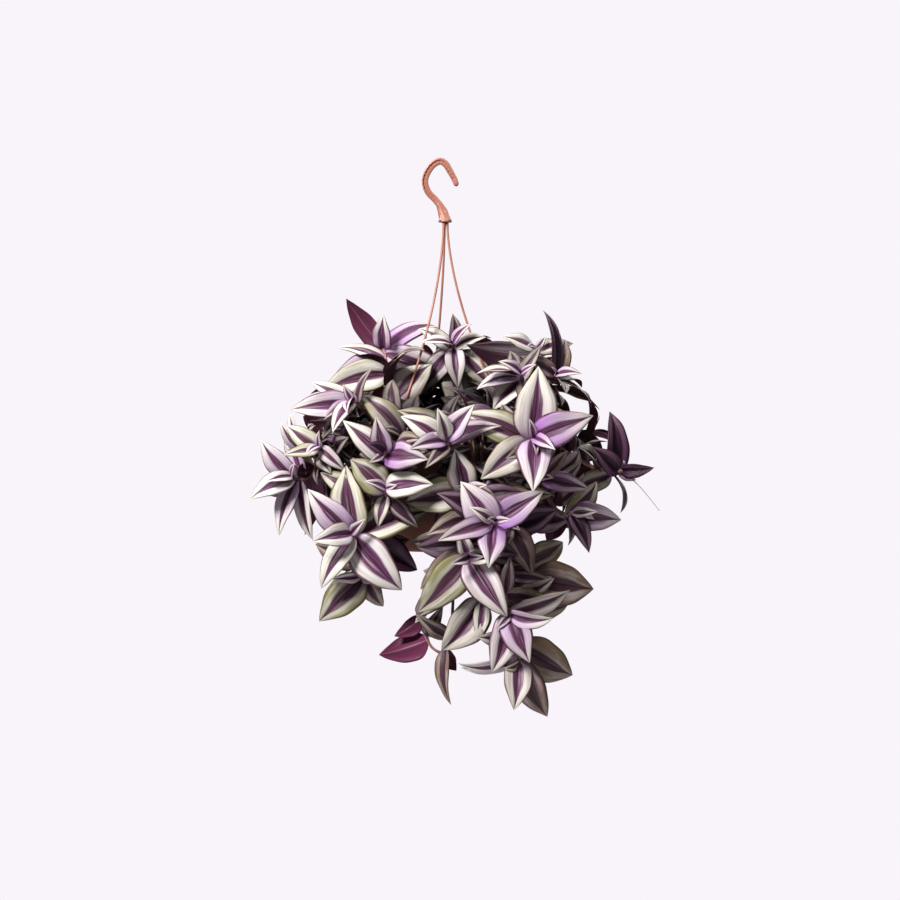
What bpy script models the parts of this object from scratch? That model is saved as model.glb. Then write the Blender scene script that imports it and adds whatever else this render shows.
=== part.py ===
"""Potted tradescantia: a striped house plant trailing over a small hanging pot.

Metres, +Z up. The origin is the hook's seat, the inner top of its bend, where a rod or a
ceiling hook carries the whole plant. The front is -Y.
"""
import math
import random
from collections import namedtuple

import bmesh
import bpy
import numpy as np
from mathutils import Matrix, Vector
from mathutils.bvhtree import BVHTree

MM = 0.001
GAP = 0.3 * MM                      # left between two pieces that touch

# Hanger
AXIS_X = 5.0 * MM                   # the hanger's and the pot's axis, beside the hook's seat
BAND_WIDTH = 5.7 * MM
BAND_THICKNESS = 5.0 * MM
CHANNEL_WIDTH = 3.0 * MM
CHANNEL_DEPTH = 1.4 * MM
SKIRT_TOP = -41.0 * MM
SKIRT_BOTTOM = -50.5 * MM
SKIRT_RADII = (3.4 * MM, 5.9 * MM)  # top, bottom
HOOK_LINE = (                       # middle of the band, x and z in mm, shank to tip
    (4.6, -49.0), (3.6, -40.5), (-3.4, -31.0), (-9.9, -24.0), (-12.6, -16.0),
    (-11.3, -8.6), (-6.4, -1.0), (0.0, 2.85), (5.2, 0.6), (9.8, -6.8), (13.6, -13.9), (15.2, -19.0),
)
STRAND_RADIUS = 1.0 * MM
STRAND_TOP_REACH = 1.9 * MM         # from the axis to a strand, under the skirt
STRAND_BOW = 1.66                   # power of the curve that a strand follows outwards
STRAND_TURNS = (-14.7, -134.7, 105.3)

# Pot and soil
RIM_TOP = -240.0 * MM
RIM_RADIUS = 66.0 * MM
LIP_THICKNESS = 3.0 * MM
LIP_HEIGHT = 9.0 * MM
POT_HEIGHT = 97.0 * MM
BASE_RADIUS = 47.0 * MM
WALL = 1.6 * MM
FLOOR = 2.0 * MM
FOOT_HEIGHT = 2.5 * MM
DRAIN_RADIUS = 4.0 * MM
DRAIN_CIRCLE = 28.0 * MM
DRAINS = 6
POT_STEPS = 40
SOIL_TOP = RIM_TOP - 12.0 * MM

# Clips at the strands' ends
CLIP_WIDTH = 7.0 * MM
CLIP_LEG = 2.0 * MM
CLIP_RISE = 3.0 * MM                # above the rim
CLIP_DROP = 6.0 * MM                # below the rim

# Shoots
STEM_RADIUS = 1.6 * MM
LEAF_THICKNESS = 1.0 * MM           # at the midrib
CLEARANCE = 1.1 * MM                # kept between leaves of different shoots
LEAF_SHARES = (0.10, 0.40, 0.75)    # stations along a leaf
CLASP_REACH = 4.0 * MM              # a leaf's base clasps the stem this far from its middle
OUTLINE_RISE = 0.85                 # leaf outline: share ** rise * (1 - share) ** fall
OUTLINE_FALL = 1.2
STEM_SPAN = 14.0 * MM               # between two points of a stem
STEM_TRIES = 400
STEM_ORDER = (0, 14, 9, 8, 10, 11, 12, 26)  # the longest routes are laid first
ROSETTE_STEP = 4.0                  # mm between two leaves of a rosette, along the stem
INNER_FIRST = 30.0 * MM             # first inner leaf, behind the stem's tip
INNER_SPACING = 19.0 * MM
INNER_LEAVES = 3
BARE_SHOOTS = ("shoot_15",)         # a bare stem trails between its few leaves
GOLDEN = math.radians(137.508)

# The foliage's ball, on which the other shoots' tips lie
CROWN_CENTRE = Vector((10.0, 4.0, -250.0)) * MM
CROWN_SEMI = Vector((126.0, 122.0, 92.0)) * MM
CROWN_SITES = 52
CROWN_FRONT = -62.0 * MM            # in front of this plane stand only the named shoots
CROWN_LOWEST = -0.72                # lowest tip, as a share of the ball's half height
CROWN_SPACING = 42.0 * MM
CROWN_LEAVES = (                    # length, width, lean; oldest first
    (57, 28, -6), (54, 27, 2), (50, 25, 12), (44, 21, 24), (32, 14, 42),
)

# Shoots in front, by hand. Each: tip and facing, route on the way to the tip, and its leaves,
# oldest first: (distance behind the tip, or None in the rosette, clock angle seen from the front,
# length, width, lean towards the front, roll), in mm and degrees.
FRONT_SHOOTS = (
    ((-50, 6, -158), (-0.2, -0.85, 0.5), ((-24, -38, -230), (-37, -26, -208)), (
        (58, 40, 48, 34, -4, 16), (32, 193, 62, 30, 14, -14), (15, 166, 46, 14, -14, 0),
        (12, 188, 66, 27, 6, -6), (9, 340, 66, 28, -10, 20), (6.5, 17, 70, 29, -18, 10),
        (4, 127, 56, 21, 5, 180), (1.5, 74, 44, 24, 4, 10))),
    ((6, -118, -239), (-0.05, -0.9, 0.45), (), (
        (None, 146, 47, 23, 8, 0), (None, 220, 42, 20, 5, 30), (None, 53, 40, 20, 22, 0),
        (None, 106, 30, 15, 35, 0))),
    ((-45, -112, -251), (-0.15, -0.95, 0.3), (), (
        (None, 138, 48, 22, 8, 0), (None, 357, 42, 26, 32, 0), (None, 99, 36, 20, 30, 0),
        (None, 150, 24, 12, 52, 0))),
    ((-44, -103, -281), (-0.1, -0.9, 0.35), (), (
        (None, 262, 30, 15, -8, 0), (None, 125, 46, 31, 6, 0), (None, 6, 42, 24, 18, 0))),
    ((-72, -108, -318), (-0.2, -0.95, 0.1), (), (
        (None, 18, 64, 30, -3, -6), (None, 99, 61, 33, -2, 0), (None, 312, 61, 36, 5, 0),
        (None, 238, 52, 23, 10, 0), (None, 134, 55, 26, 14, 0), (None, 190, 38, 20, 34, 0),
        (24, 325, 64, 28, -16, 0))),
    ((77, -124, -239), (0.15, -0.97, 0.15), (), (
        (None, 157, 58, 29, -6, 0), (None, 218, 52, 29, -2, 0), (None, 85, 62, 37, 4, 0),
        (None, 270, 50, 30, 34, 0), (None, 21, 55, 29, 17, 0), (None, 330, 30, 12, 50, 0))),
    ((44, -132, -307), (0.05, -0.97, 0.15), (), (
        (None, 33, 52, 25, 3, 0), (None, 125, 46, 30, 10, 0), (None, 264, 45, 26, 42, 0),
        (None, 197, 50, 19, 18, 0), (None, 147, 28, 11, 36, 0))),
    ((25, -120, -336), (0.05, -0.95, -0.1), (), (
        (22, 220, 54, 26, -10, 0), (None, 228, 62, 32, 0, 0), (None, 303, 60, 31, 8, 0),
        (None, 110, 27, 14, 22, 0), (None, 2, 32, 14, 36, 0), (30, 186, 46, 24, -12, 0))),
    ((59, -112, -384), (0.1, -0.88, -0.35), (), (
        (None, 19, 54, 23, 0, 0), (None, 254, 53, 26, 4, 0), (None, 291, 46, 28, 20, 0),
        (None, 354, 40, 18, 30, 0))),
    ((65, -100, -425), (0.1, -0.75, -0.6), (), (
        (23, 328, 62, 38, -10, -30), (6, 297, 58, 29, -8, 0), (None, 194, 48, 16, -6, 0),
        (None, 187, 50, 18, 8, 0), (None, 266, 44, 26, 24, 0), (None, 205, 18, 10, 42, 0))),
    ((36, -96, -375), (-0.1, -0.88, -0.3), (), (
        (None, 230, 55, 33, 4, 0), (None, 275, 40, 18, -10, 0))),
    ((-64, -90, -354), (-0.2, -0.9, -0.2), (), (
        (None, 300, 32, 20, -8, 0), (None, 226, 54, 31, 4, 0), (None, 185, 28, 10, 22, 0))),
    ((79, -70, -357), (0.3, -0.85, -0.1), (), (
        (None, 350, 55, 38, -5, 0), (None, 250, 40, 22, -5, 0))),
    ((60, -88, -312), (0.2, -0.9, 0.1), (), (
        (None, 20, 46, 24, -10, 0), (None, 295, 46, 24, 4, 0), (None, 248, 28, 11, 12, 0))),
    ((-15, -72, -389), (0.0, -0.92, 0.4), ((12, -86, -320), (11, -80, -390), (4, -75, -421),
                                          (-9, -73, -411)), (
        (46, 258, 56, 17, 0, 50), (38, 305, 20, 15, 0, 180), (21, 198, 44, 25, 0, 180),
        (2, 214, 28, 16, 0, 180))),
    ((157, -30, -267), (0.75, -0.6, 0.1), (), (
        (None, 200, 40, 20, -10, 20), (None, 93, 56, 24, 5, -32), (None, 128, 40, 22, 4, -24),
        (None, 5, 30, 13, 20, 20))),
    ((112, -80, -302), (0.45, -0.85, 0.05), (), (
        (None, 47, 41, 20, -4, 0), (None, 355, 46, 25, 4, 0), (None, 300, 40, 17, 6, 0),
        (None, 4, 24, 10, 32, 0))),
    ((99, -50, -186), (0.3, -0.85, 0.4), (), (
        (None, 74, 38, 18, -14, 0), (None, 97, 60, 20, 2, 30), (None, 152, 38, 16, 14, 0))),
    ((82, -40, -164), (0.15, -0.75, 0.6), (), (
        (22, 212, 50, 27, 0, 0), (None, 172, 60, 32, -2, 165), (None, 10, 40, 20, 0, 0),
        (None, 158, 34, 16, 24, 0))),
    ((68, -85, -186), (0.1, -0.85, 0.45), (), (
        (None, 225, 36, 22, -6, 0), (None, 191, 40, 18, 4, 20), (None, 176, 40, 20, 18, 40),
        (None, 150, 26, 12, 34, 0))),
    ((12, -14, -158), (0.0, -0.7, 0.7), (), (
        (26, 272, 50, 28, 2, 0), (16, 318, 48, 26, 6, 0), (13, 232, 46, 24, 8, 0), (None, 140, 40, 17, -4, 0),
        (None, 25, 36, 16, -4, 0), (None, 278, 38, 19, 16, 0), (None, 176, 30, 13, 20, 0))),
    ((-126, -45, -272), (-0.5, -0.85, 0.1), (), (
        (None, 262, 60, 22, -24, 180), (None, 207, 42, 20, -22, 180), (None, 105, 54, 18, -6, 0),
        (None, 280, 54, 18, -2, 0), (None, 252, 50, 19, 8, 0), (None, 131, 46, 23, 10, 0),
        (None, 205, 43, 22, 20, 0), (None, 190, 28, 12, 38, 0))),
    ((-116, -58, -249), (-0.5, -0.8, 0.3), (), (
        (None, 112, 36, 17, 4, 0), (None, 129, 32, 13, 20, 0))),
    ((-100, -84, -247), (-0.3, -0.9, 0.25), (), (
        (None, 144, 38, 19, 0, 0), (None, 189, 32, 13, 6, 0), (None, 318, 30, 13, 10, 0))),
    ((-72, -85, -210), (-0.35, -0.9, 0.25), (), (
        (None, 196, 48, 20, -12, 180), (None, 153, 46, 17, 2, 0), (None, 184, 57, 24, 8, -10),
        (None, 214, 34, 15, 14, 0), (None, 237, 36, 17, 32, 0))),
    ((85, -98, -272), (0.25, -0.9, 0.2), (), (
        (None, 350, 42, 18, 4, 0), (None, 46, 32, 13, 8, 0))),
    ((22, -98, -283), (0.0, -0.95, 0.2), (), (
        (28, 76, 28, 20, 5, 0), (None, 188, 54, 31, -4, 0), (None, 104, 37, 26, 14, 0),
        (14, 230, 46, 24, -14, 0))),
)

Leaf = namedtuple("Leaf", "base along up length width arch fold twist")
Shoot = namedtuple("Shoot", "name stem facing leaves")


# ------------------------------------------------------------------ curves and sections

def smooth(points, per_span):
    """Points on a Catmull-Rom curve through the given ones."""
    ends = [2 * points[0] - points[1]] + list(points) + [2 * points[-1] - points[-2]]
    result = []
    for a, b, c, d in zip(ends, ends[1:], ends[2:], ends[3:]):
        for step in range(per_span):
            t = step / per_span
            result.append(0.5 * (2 * b + (c - a) * t + (2 * a - 5 * b + 4 * c - d) * t * t
                                 + (3 * b - a - 3 * c + d) * t ** 3))
    result.append(points[-1].copy())
    return result


def evenly(points, count):
    """The same route with a number of points evenly spaced along it."""
    lengths = [0.0]
    for a, b in zip(points, points[1:]):
        lengths.append(lengths[-1] + (b - a).length)
    result = []
    for share in np.linspace(0.0, lengths[-1], count):
        i = min(int(np.searchsorted(lengths, share, side="right")) - 1, len(points) - 2)
        t = (share - lengths[i]) / (lengths[i + 1] - lengths[i])
        result.append(points[i].lerp(points[i + 1], t))
    return result


def behind_tip(points, distance):
    """The place on a route at a distance behind its last point."""
    for b, a in zip(reversed(points), reversed(points[:-1])):
        span = (b - a).length
        if distance <= span:
            return b.lerp(a, distance / span)
        distance -= span
    return points[0].copy()


def loft(sections, start=None, end=None):
    """Points and faces of closed rings joined in order; an end is a point or a flat cap."""
    size = len(sections[0])
    verts = [point for ring in sections for point in ring]
    faces = []
    for k in range(len(sections) - 1):
        for i in range(size):
            j = (i + 1) % size
            faces.append((k * size + i, k * size + j, (k + 1) * size + j, (k + 1) * size + i))
    last = (len(sections) - 1) * size
    if start is None:
        faces.append(tuple(reversed(range(size))))
    else:
        verts.append(start)
        faces += [((i + 1) % size, i, len(verts) - 1) for i in range(size)]
    if end is None:
        faces.append(tuple(range(last, last + size)))
    else:
        verts.append(end)
        faces += [(last + i, last + (i + 1) % size, len(verts) - 1) for i in range(size)]
    return verts, faces


def tube(points, radius, sides=6):
    """A round tube's rings along a route, lofted."""
    rings = []
    for i, point in enumerate(points):
        ahead = (points[min(i + 1, len(points) - 1)] - points[max(i - 1, 0)]).normalized()
        across = ahead.orthogonal().normalized()
        if i:
            across = (last - ahead * last.dot(ahead)).normalized()
        last = across
        other = ahead.cross(across)
        rings.append([point + (across * math.cos(k * math.tau / sides)
                               + other * math.sin(k * math.tau / sides)) * radius
                      for k in range(sides)])
    return loft(rings)


# ------------------------------------------------------------------ leaves

def half_width(leaf, share):
    """An ovate outline: rises fast from the base and narrows to a pointed tip."""
    peak = OUTLINE_RISE / (OUTLINE_RISE + OUTLINE_FALL)
    full = peak ** OUTLINE_RISE * (1 - peak) ** OUTLINE_FALL
    return leaf.width / 2 * share ** OUTLINE_RISE * (1 - share) ** OUTLINE_FALL / full


def midrib(leaf, share):
    """Point, side and upper normal at a share of the midrib, which is an arc of the leaf's arch."""
    half = leaf.arch / 2
    heading = half - leaf.arch * share
    reach = leaf.length / (2 * math.sin(half))
    point = (leaf.base + leaf.along * reach * (math.sin(half) - math.sin(heading))
             + leaf.up * reach * (math.cos(heading) - math.cos(half)))
    ahead = leaf.along * math.cos(heading) + leaf.up * math.sin(heading)
    normal = leaf.up * math.cos(heading) - leaf.along * math.sin(heading)
    turn = Matrix.Rotation(leaf.twist * share, 3, ahead)
    return point, turn @ ahead.cross(normal), turn @ normal


def leaf_section(leaf, share, swell):
    """A folded lens across the leaf: two raised margins, and the midrib's top and bottom."""
    point, side, normal = midrib(leaf, share)
    reach = half_width(leaf, share)
    rise = leaf.fold * reach
    middle = LEAF_THICKNESS / 2 + swell
    if not swell:
        return [point - side * reach + normal * rise, point + normal * middle,
                point + side * reach + normal * rise, point - normal * middle]
    reach += swell
    low, high = normal * (rise - swell), normal * (rise + swell)
    return [point - side * reach + low, point - side * reach + high, point + normal * middle,
            point + side * reach + high, point + side * reach + low, point - normal * middle]


def split_alike(faces, ring):
    """Quads split from the earlier section's margin to the later one's midrib, so that a twisted
    leaf's upper and lower sides follow each other and never cross."""
    from_margin = (0, 2) if ring == 4 else (1, 4)
    result = []
    for k, face in enumerate(faces):
        if len(face) == 3:
            result.append(face)
            continue
        a, b, c, d = face
        if k % ring in from_margin:
            result += [(a, b, c), (a, c, d)]
        else:
            result += [(a, b, d), (b, c, d)]
    return result


def leaf_solid(leaf, swell=0.0, first=0.0):
    """The leaf as a closed solid, pointed at both ends, or swollen and begun further out."""
    sections = [leaf_section(leaf, share, swell) for share in LEAF_SHARES if share > first]
    start = midrib(leaf, first)[0]
    end = midrib(leaf, 1.0)[0] + leaf.along * swell
    verts, faces = loft(sections, start, end)
    return verts, split_alike(faces, len(sections[0]))


# ------------------------------------------------------------------ room between pieces

class Thicket:
    """Everything placed so far: boxes for a first test, trees of faces for the second."""

    def __init__(self):
        self.boxes = np.empty((0, 6))
        self.trees = []
        self.owners = []

    def add(self, solid, name, kind):
        verts, faces = solid
        cloud = np.array(verts)
        box = np.concatenate((cloud.min(axis=0), cloud.max(axis=0)))
        self.boxes = np.vstack((self.boxes, box))
        self.trees.append(BVHTree.FromPolygons(verts, faces))
        self.owners.append((name, kind))

    def touched(self, solid, counts):
        """Whether a solid meets any placed piece whose owner counts."""
        verts, faces = solid
        cloud = np.array(verts)
        low, high = cloud.min(axis=0), cloud.max(axis=0)
        near = np.all((self.boxes[:, :3] <= high) & (self.boxes[:, 3:] >= low), axis=1)
        tree = None
        for i in np.flatnonzero(near):
            if counts(self.owners[i]):
                tree = tree or BVHTree.FromPolygons(verts, faces)
                if tree.overlap(self.trees[i]):
                    return True
        return False


def leaf_fits(thicket, leaf, name):
    """A leaf keeps its distance from other shoots, and its blade clears its own shoot."""
    blade = leaf_solid(leaf, first=CLASP_REACH / leaf.length)
    return not (thicket.touched(leaf_solid(leaf, CLEARANCE), lambda owner: owner[0] != name)
                or thicket.touched(leaf_solid(leaf), lambda owner: owner == (name, "leaf"))
                or thicket.touched(blade, lambda owner: owner == (name, "stem")))


# ------------------------------------------------------------------ layout of the shoots

def upper_side(along, facing, roll):
    """The upper side's normal: the facing made square to the leaf, rolled about the leaf."""
    up = facing - along * facing.dot(along)
    if up.length < 0.05:
        up = along.orthogonal()
    return Matrix.Rotation(math.radians(roll), 3, along) @ up.normalized()


def clock_direction(right, upward, out, clock, lean):
    """A direction by its clock angle in a plane and its lean out of that plane."""
    clock, lean = math.radians(clock), math.radians(lean)
    return (right * math.cos(clock) + upward * math.sin(clock)) * math.cos(lean) + out * math.sin(lean)


def place_leaf(thicket, shoot, draw, back, frame, shape, facing, roll, tries, sway):
    """Adds one leaf, turned, leaned, moved and shortened a little more at each try until it has room."""
    right, upward, out = frame
    clock, length, width, lean = shape
    for attempt in range(tries):
        spread = sway * attempt
        shift = draw.uniform(-0.1, 0.1) * spread * MM
        base = behind_tip(shoot.stem, max(back + shift, MM))
        along = clock_direction(right, upward, out, clock + draw.uniform(-spread, spread),
                                lean + draw.uniform(-spread, spread))
        up = upper_side(along, facing, roll + draw.uniform(-spread, spread))
        size = (1 - 0.3 * attempt / tries) * MM
        leaf = Leaf(base, along, up, length * size, width * size, draw.uniform(0.45, 1.0),
                    draw.uniform(0.12, 0.42), draw.uniform(-0.35, 0.35))
        if leaf_fits(thicket, leaf, shoot.name):
            thicket.add(leaf_solid(leaf), shoot.name, "leaf")
            shoot.leaves.append(leaf)
            return


def around_axis(turn, reach, height):
    """A place by its turn about the pot's axis, its distance from it and its height."""
    return Vector((AXIS_X + math.cos(turn) * reach, math.sin(turn) * reach, height))


def stem_route(tip, facing, via, draw, spread):
    """From the soil over the rim to the tip, where it arrives along its facing."""
    goal = via[0] if via else tip
    aim = math.atan2(goal.y, goal.x - AXIS_X)
    turn = aim + draw.uniform(-0.6, 0.6) * spread
    reach = draw.uniform(10, 54) * MM
    root = around_axis(turn, reach, SOIL_TOP + 2 * GAP)
    points = [root, around_axis(turn, reach + 1.5 * MM, SOIL_TOP + 11 * MM)]
    lift = draw.uniform(10, 14 + 18 * spread) * MM
    rim = RIM_RADIUS + draw.uniform(8, 12 + 14 * spread) * MM
    if via or tip.z < RIM_TOP + 30 * MM:
        over = aim + draw.uniform(-0.35, 0.35) * spread
        points.append(around_axis((turn + over) / 2, (reach + rim) / 2, RIM_TOP + lift + 3 * MM))
        points.append(around_axis(over, rim, RIM_TOP + lift - 3 * MM))
        if not via and tip.z < RIM_TOP - 45 * MM:
            distance = Vector((tip.x - AXIS_X, tip.y)).length
            fall = min(distance - 12 * MM, rim + draw.uniform(6, 22) * MM)
            points.append(around_axis(aim + draw.uniform(-0.3, 0.3) * spread, fall,
                                      (RIM_TOP + tip.z) / 2 + 8 * MM))
    points += via if via else [tip - facing * 22 * MM]
    points.append(tip)
    curve = smooth(points, 6)
    length = sum((b - a).length for a, b in zip(curve, curve[1:]))
    return evenly(curve, max(6, round(length / STEM_SPAN) + 1))


def place_stem(thicket, name, tip, facing, via, draw):
    """The first clear route among many, which swing further out at each try."""
    for attempt in range(STEM_TRIES):
        route = stem_route(tip, facing, via, draw, attempt / STEM_TRIES)
        above_soil = [route[0].lerp(route[1], 0.3)] + route[1:]
        if not thicket.touched(tube(above_soil, STEM_RADIUS + CLEARANCE), lambda owner: True):
            thicket.add(tube(route, STEM_RADIUS + GAP), name, "stem")
            return route
    return None


def crown_tips():
    """Tips spread by the golden angle over the foliage's ball, behind the named front shoots."""
    taken = [Vector(shoot[0]) * MM for shoot in FRONT_SHOOTS]
    tips = []
    for i in range(CROWN_SITES):
        height = 1 - 2 * (i + 0.5) / CROWN_SITES
        ring = math.sqrt(1 - height * height)
        unit = Vector((ring * math.cos(i * GOLDEN), ring * math.sin(i * GOLDEN), height))
        tip = CROWN_CENTRE + unit * CROWN_SEMI
        if height < CROWN_LOWEST or tip.y < CROWN_FRONT:
            continue
        if min((tip - other).length for other in taken) < CROWN_SPACING:
            continue
        facing = Vector((unit.x / CROWN_SEMI.x, unit.y / CROWN_SEMI.y, unit.z / CROWN_SEMI.z)).normalized()
        tips.append((tip, (facing + Vector((0.0, 0.0, 0.15))).normalized()))
    return tips


def front_leaves(thicket, shoot, table, draw):
    """The leaves given by hand, seen on a clock face from the front."""
    frame = (Vector((1, 0, 0)), Vector((0, 0, 1)), Vector((0, -1, 0)))
    young = sum(row[0] is None for row in table)
    for back, clock, length, width, lean, roll in table:
        if back is None:
            young -= 1
            back = 1.5 + ROSETTE_STEP * young
        place_leaf(thicket, shoot, draw, back * MM, frame, (clock, length, width, lean),
                   shoot.facing, roll, 150, 0.3)


def crown_leaves(thicket, shoot, draw):
    """A rosette about the facing, its older leaves wide and low, its young ones upright."""
    right = Vector((0, 0, 1)).cross(shoot.facing)
    right = right.normalized() if right.length > 0.05 else Vector((1, 0, 0))
    frame = (right, shoot.facing.cross(right), shoot.facing)
    phase = draw.uniform(0, 360)
    size = draw.uniform(0.88, 1.08)
    for i, (length, width, lean) in enumerate(CROWN_LEAVES):
        back = (1.5 + ROSETTE_STEP * (len(CROWN_LEAVES) - 1 - i)) * MM
        shape = (phase + 144 * i + draw.uniform(-14, 14), length * size, width * size,
                 lean + draw.uniform(-8, 8))
        place_leaf(thicket, shoot, draw, back, frame, shape, shoot.facing, 0, 60, 0.8)


def stem_leaves(thicket, shoot, draw):
    """Leaves that alternate down the stem below its rosette, and fill the inside."""
    length = sum((b - a).length for a, b in zip(shoot.stem, shoot.stem[1:]))
    back = INNER_FIRST
    side = draw.choice((-1, 1))
    for _ in range(INNER_LEAVES):
        if back > length - 25 * MM:
            break
        base = behind_tip(shoot.stem, back)
        ahead = (behind_tip(shoot.stem, back - 4 * MM) - base).normalized()
        outward = Vector((base.x - AXIS_X, base.y, base.z - CROWN_CENTRE.z)).normalized()
        across = ahead.cross(outward).normalized()
        frame = (across * side, ahead, across.cross(ahead))
        facing = (outward + Vector((0, 0, 0.7))).normalized()
        shape = (draw.uniform(-25, 25), draw.uniform(40, 56), draw.uniform(19, 27),
                 draw.uniform(5, 35))
        place_leaf(thicket, shoot, draw, back, frame, shape, facing, draw.uniform(-20, 20), 40, 1.2)
        side = -side
        back += INNER_SPACING * draw.uniform(0.85, 1.15)


def lay_out_shoots(obstacles):
    """All stems first, then the named rosettes, the crown's rosettes and the leaves inside."""
    thicket = Thicket()
    for solid in obstacles:
        thicket.add(solid, "holder", "solid")
    plans = [(Vector(tip) * MM, Vector(facing).normalized(), [Vector(point) * MM for point in via])
             for tip, facing, via, leaves in FRONT_SHOOTS]
    plans += [(tip, facing, []) for tip, facing in crown_tips()]
    draws = [random.Random(100 + index) for index in range(len(plans))]
    shoots = []
    for index in STEM_ORDER + tuple(i for i in range(len(plans)) if i not in STEM_ORDER):
        name = "shoot_%02d" % (index + 1)
        stem = place_stem(thicket, name, *plans[index], draws[index])
        if stem:
            shoots.append(Shoot(name, stem, plans[index][1], []))
    shoots.sort(key=lambda shoot: shoot.name)
    front = [shoot for shoot in shoots if int(shoot.name[-2:]) <= len(FRONT_SHOOTS)]
    for shoot in sorted(front, key=lambda shoot: shoot.stem[-1].y):
        index = int(shoot.name[-2:]) - 1
        front_leaves(thicket, shoot, FRONT_SHOOTS[index][3], draws[index])
    for shoot in shoots[len(front):]:
        crown_leaves(thicket, shoot, draws[int(shoot.name[-2:]) - 1])
    for shoot in shoots:
        if shoot.name not in BARE_SHOOTS:
            stem_leaves(thicket, shoot, draws[int(shoot.name[-2:]) - 1])
    return shoots


# ------------------------------------------------------------------ the holder's outlines

def pot_profile():
    """The pot's wall in half section, up its inside, over the lip and down its outside."""
    base = RIM_TOP - POT_HEIGHT
    taper = (RIM_RADIUS - LIP_THICKNESS + WALL - BASE_RADIUS) / (POT_HEIGHT - LIP_HEIGHT)
    shoulder = RIM_TOP - LIP_HEIGHT
    inner_base = BASE_RADIUS - WALL + taper * (FOOT_HEIGHT + FLOOR)
    return [
        (DRAIN_RADIUS, base + FOOT_HEIGHT + FLOOR),
        (inner_base, base + FOOT_HEIGHT + FLOOR),
        (RIM_RADIUS - LIP_THICKNESS, shoulder),
        (RIM_RADIUS - LIP_THICKNESS, RIM_TOP - 0.8 * MM),
        (RIM_RADIUS - LIP_THICKNESS + 0.8 * MM, RIM_TOP),
        (RIM_RADIUS - 0.8 * MM, RIM_TOP),
        (RIM_RADIUS, RIM_TOP - 0.8 * MM),
        (RIM_RADIUS, shoulder),
        (RIM_RADIUS - LIP_THICKNESS + WALL, shoulder - 0.6 * MM),
        (BASE_RADIUS, base + 0.6 * MM),
        (BASE_RADIUS - 0.6 * MM, base),
        (BASE_RADIUS - 4.0 * MM, base),
        (BASE_RADIUS - 5.0 * MM, base + FOOT_HEIGHT),
        (DRAIN_RADIUS, base + FOOT_HEIGHT),
    ]


def soil_radius(z):
    """The soil's radius at a height: the pot's inner wall less the gap."""
    profile = pot_profile()
    (low_r, low_z), (high_r, high_z) = profile[1], profile[2]
    share = (z - low_z) / (high_z - low_z)
    return low_r + (high_r - low_r) * share - GAP


def strand_route(turn):
    """A strand from under the skirt to its clip, bowing outwards as a power of its drop."""
    start = SKIRT_BOTTOM - GAP
    end = RIM_TOP + CLIP_RISE - 1.0 * MM
    reach = RIM_RADIUS - LIP_THICKNESS / 2
    around = Vector((math.cos(turn), math.sin(turn), 0.0))
    points = []
    for share in np.linspace(0.0, 1.0, 15):
        radius = STRAND_TOP_REACH + (reach - STRAND_TOP_REACH) * share ** STRAND_BOW
        points.append(Vector((AXIS_X, 0.0, start + (end - start) * share)) + around * radius)
    return points


def holder_obstacles():
    """The pot closed by its soil, and the strands with their clips, as test solids."""
    outline = [(RIM_RADIUS - LIP_THICKNESS, SOIL_TOP - CLEARANCE)] + pot_profile()[3:10]
    turns = [k * math.tau / 36 for k in range(36)]
    solids = [loft([[around_axis(turn, radius, z) for turn in turns] for radius, z in outline])]
    for turn in STRAND_TURNS:
        route = strand_route(math.radians(turn))
        solids.append(tube(route, STRAND_RADIUS))
        foot = route[-1]
        solids.append(tube([foot + Vector((0, 0, 2 * MM)), foot - Vector((0, 0, 10 * MM))],
                           CLIP_WIDTH * 0.75))
    return solids


# ------------------------------------------------------------------ Blender objects

def clear_scene():
    for obj in list(bpy.data.objects):
        bpy.data.objects.remove(obj, do_unlink=True)


def collection(name):
    made = bpy.data.collections.new(name)
    bpy.context.scene.collection.children.link(made)
    return made


def material(name, colour, roughness):
    made = bpy.data.materials.new(name)
    made.use_nodes = True
    shader = made.node_tree.nodes["Principled BSDF"]
    shader.inputs["Base Color"].default_value = (*colour, 1.0)
    shader.inputs["Roughness"].default_value = roughness
    shader.inputs["Metallic"].default_value = 0.0
    return made


def mesh_object(name, verts, faces, group, finish=None):
    mesh = bpy.data.meshes.new(name)
    mesh.from_pydata([tuple(point) for point in verts], [], faces)
    mesh.update()
    obj = bpy.data.objects.new(name, mesh)
    group.objects.link(obj)
    if finish:
        mesh.materials.append(finish)
    return obj


def as_blank(obj):
    """Marks a piece that only cuts or joins another."""
    obj.hide_render = True
    obj.display_type = "WIRE"
    return obj


def boolean(obj, operation, blank):
    joined = obj.modifiers.new(operation.title(), "BOOLEAN")
    joined.operation = operation
    joined.solver = "EXACT"
    joined.object = blank
    return joined


def round_curve(name, points, radius, group, sides_level):
    """A wire of round section along a route, with filled ends."""
    data = bpy.data.curves.new(name, "CURVE")
    data.dimensions = "3D"
    data.bevel_depth = radius
    data.bevel_resolution = sides_level
    data.use_fill_caps = True
    spline = data.splines.new("POLY")
    spline.points.add(len(points) - 1)
    for place, point in zip(spline.points, points):
        place.co = (*point, 1.0)
    obj = bpy.data.objects.new(name, data)
    group.objects.link(obj)
    return obj


def flat_curve(name, outline, thickness, group):
    """A flat plate in the XZ plane from a closed outline of x, z pairs."""
    data = bpy.data.curves.new(name, "CURVE")
    data.dimensions = "2D"
    data.fill_mode = "BOTH"
    data.extrude = thickness / 2
    spline = data.splines.new("POLY")
    spline.points.add(len(outline) - 1)
    for place, (x, z) in zip(spline.points, outline):
        place.co = (x, z, 0.0, 1.0)
    spline.use_cyclic_u = True
    obj = bpy.data.objects.new(name, data)
    obj.rotation_euler = (math.radians(90), 0.0, 0.0)
    group.objects.link(obj)
    return obj


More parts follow.
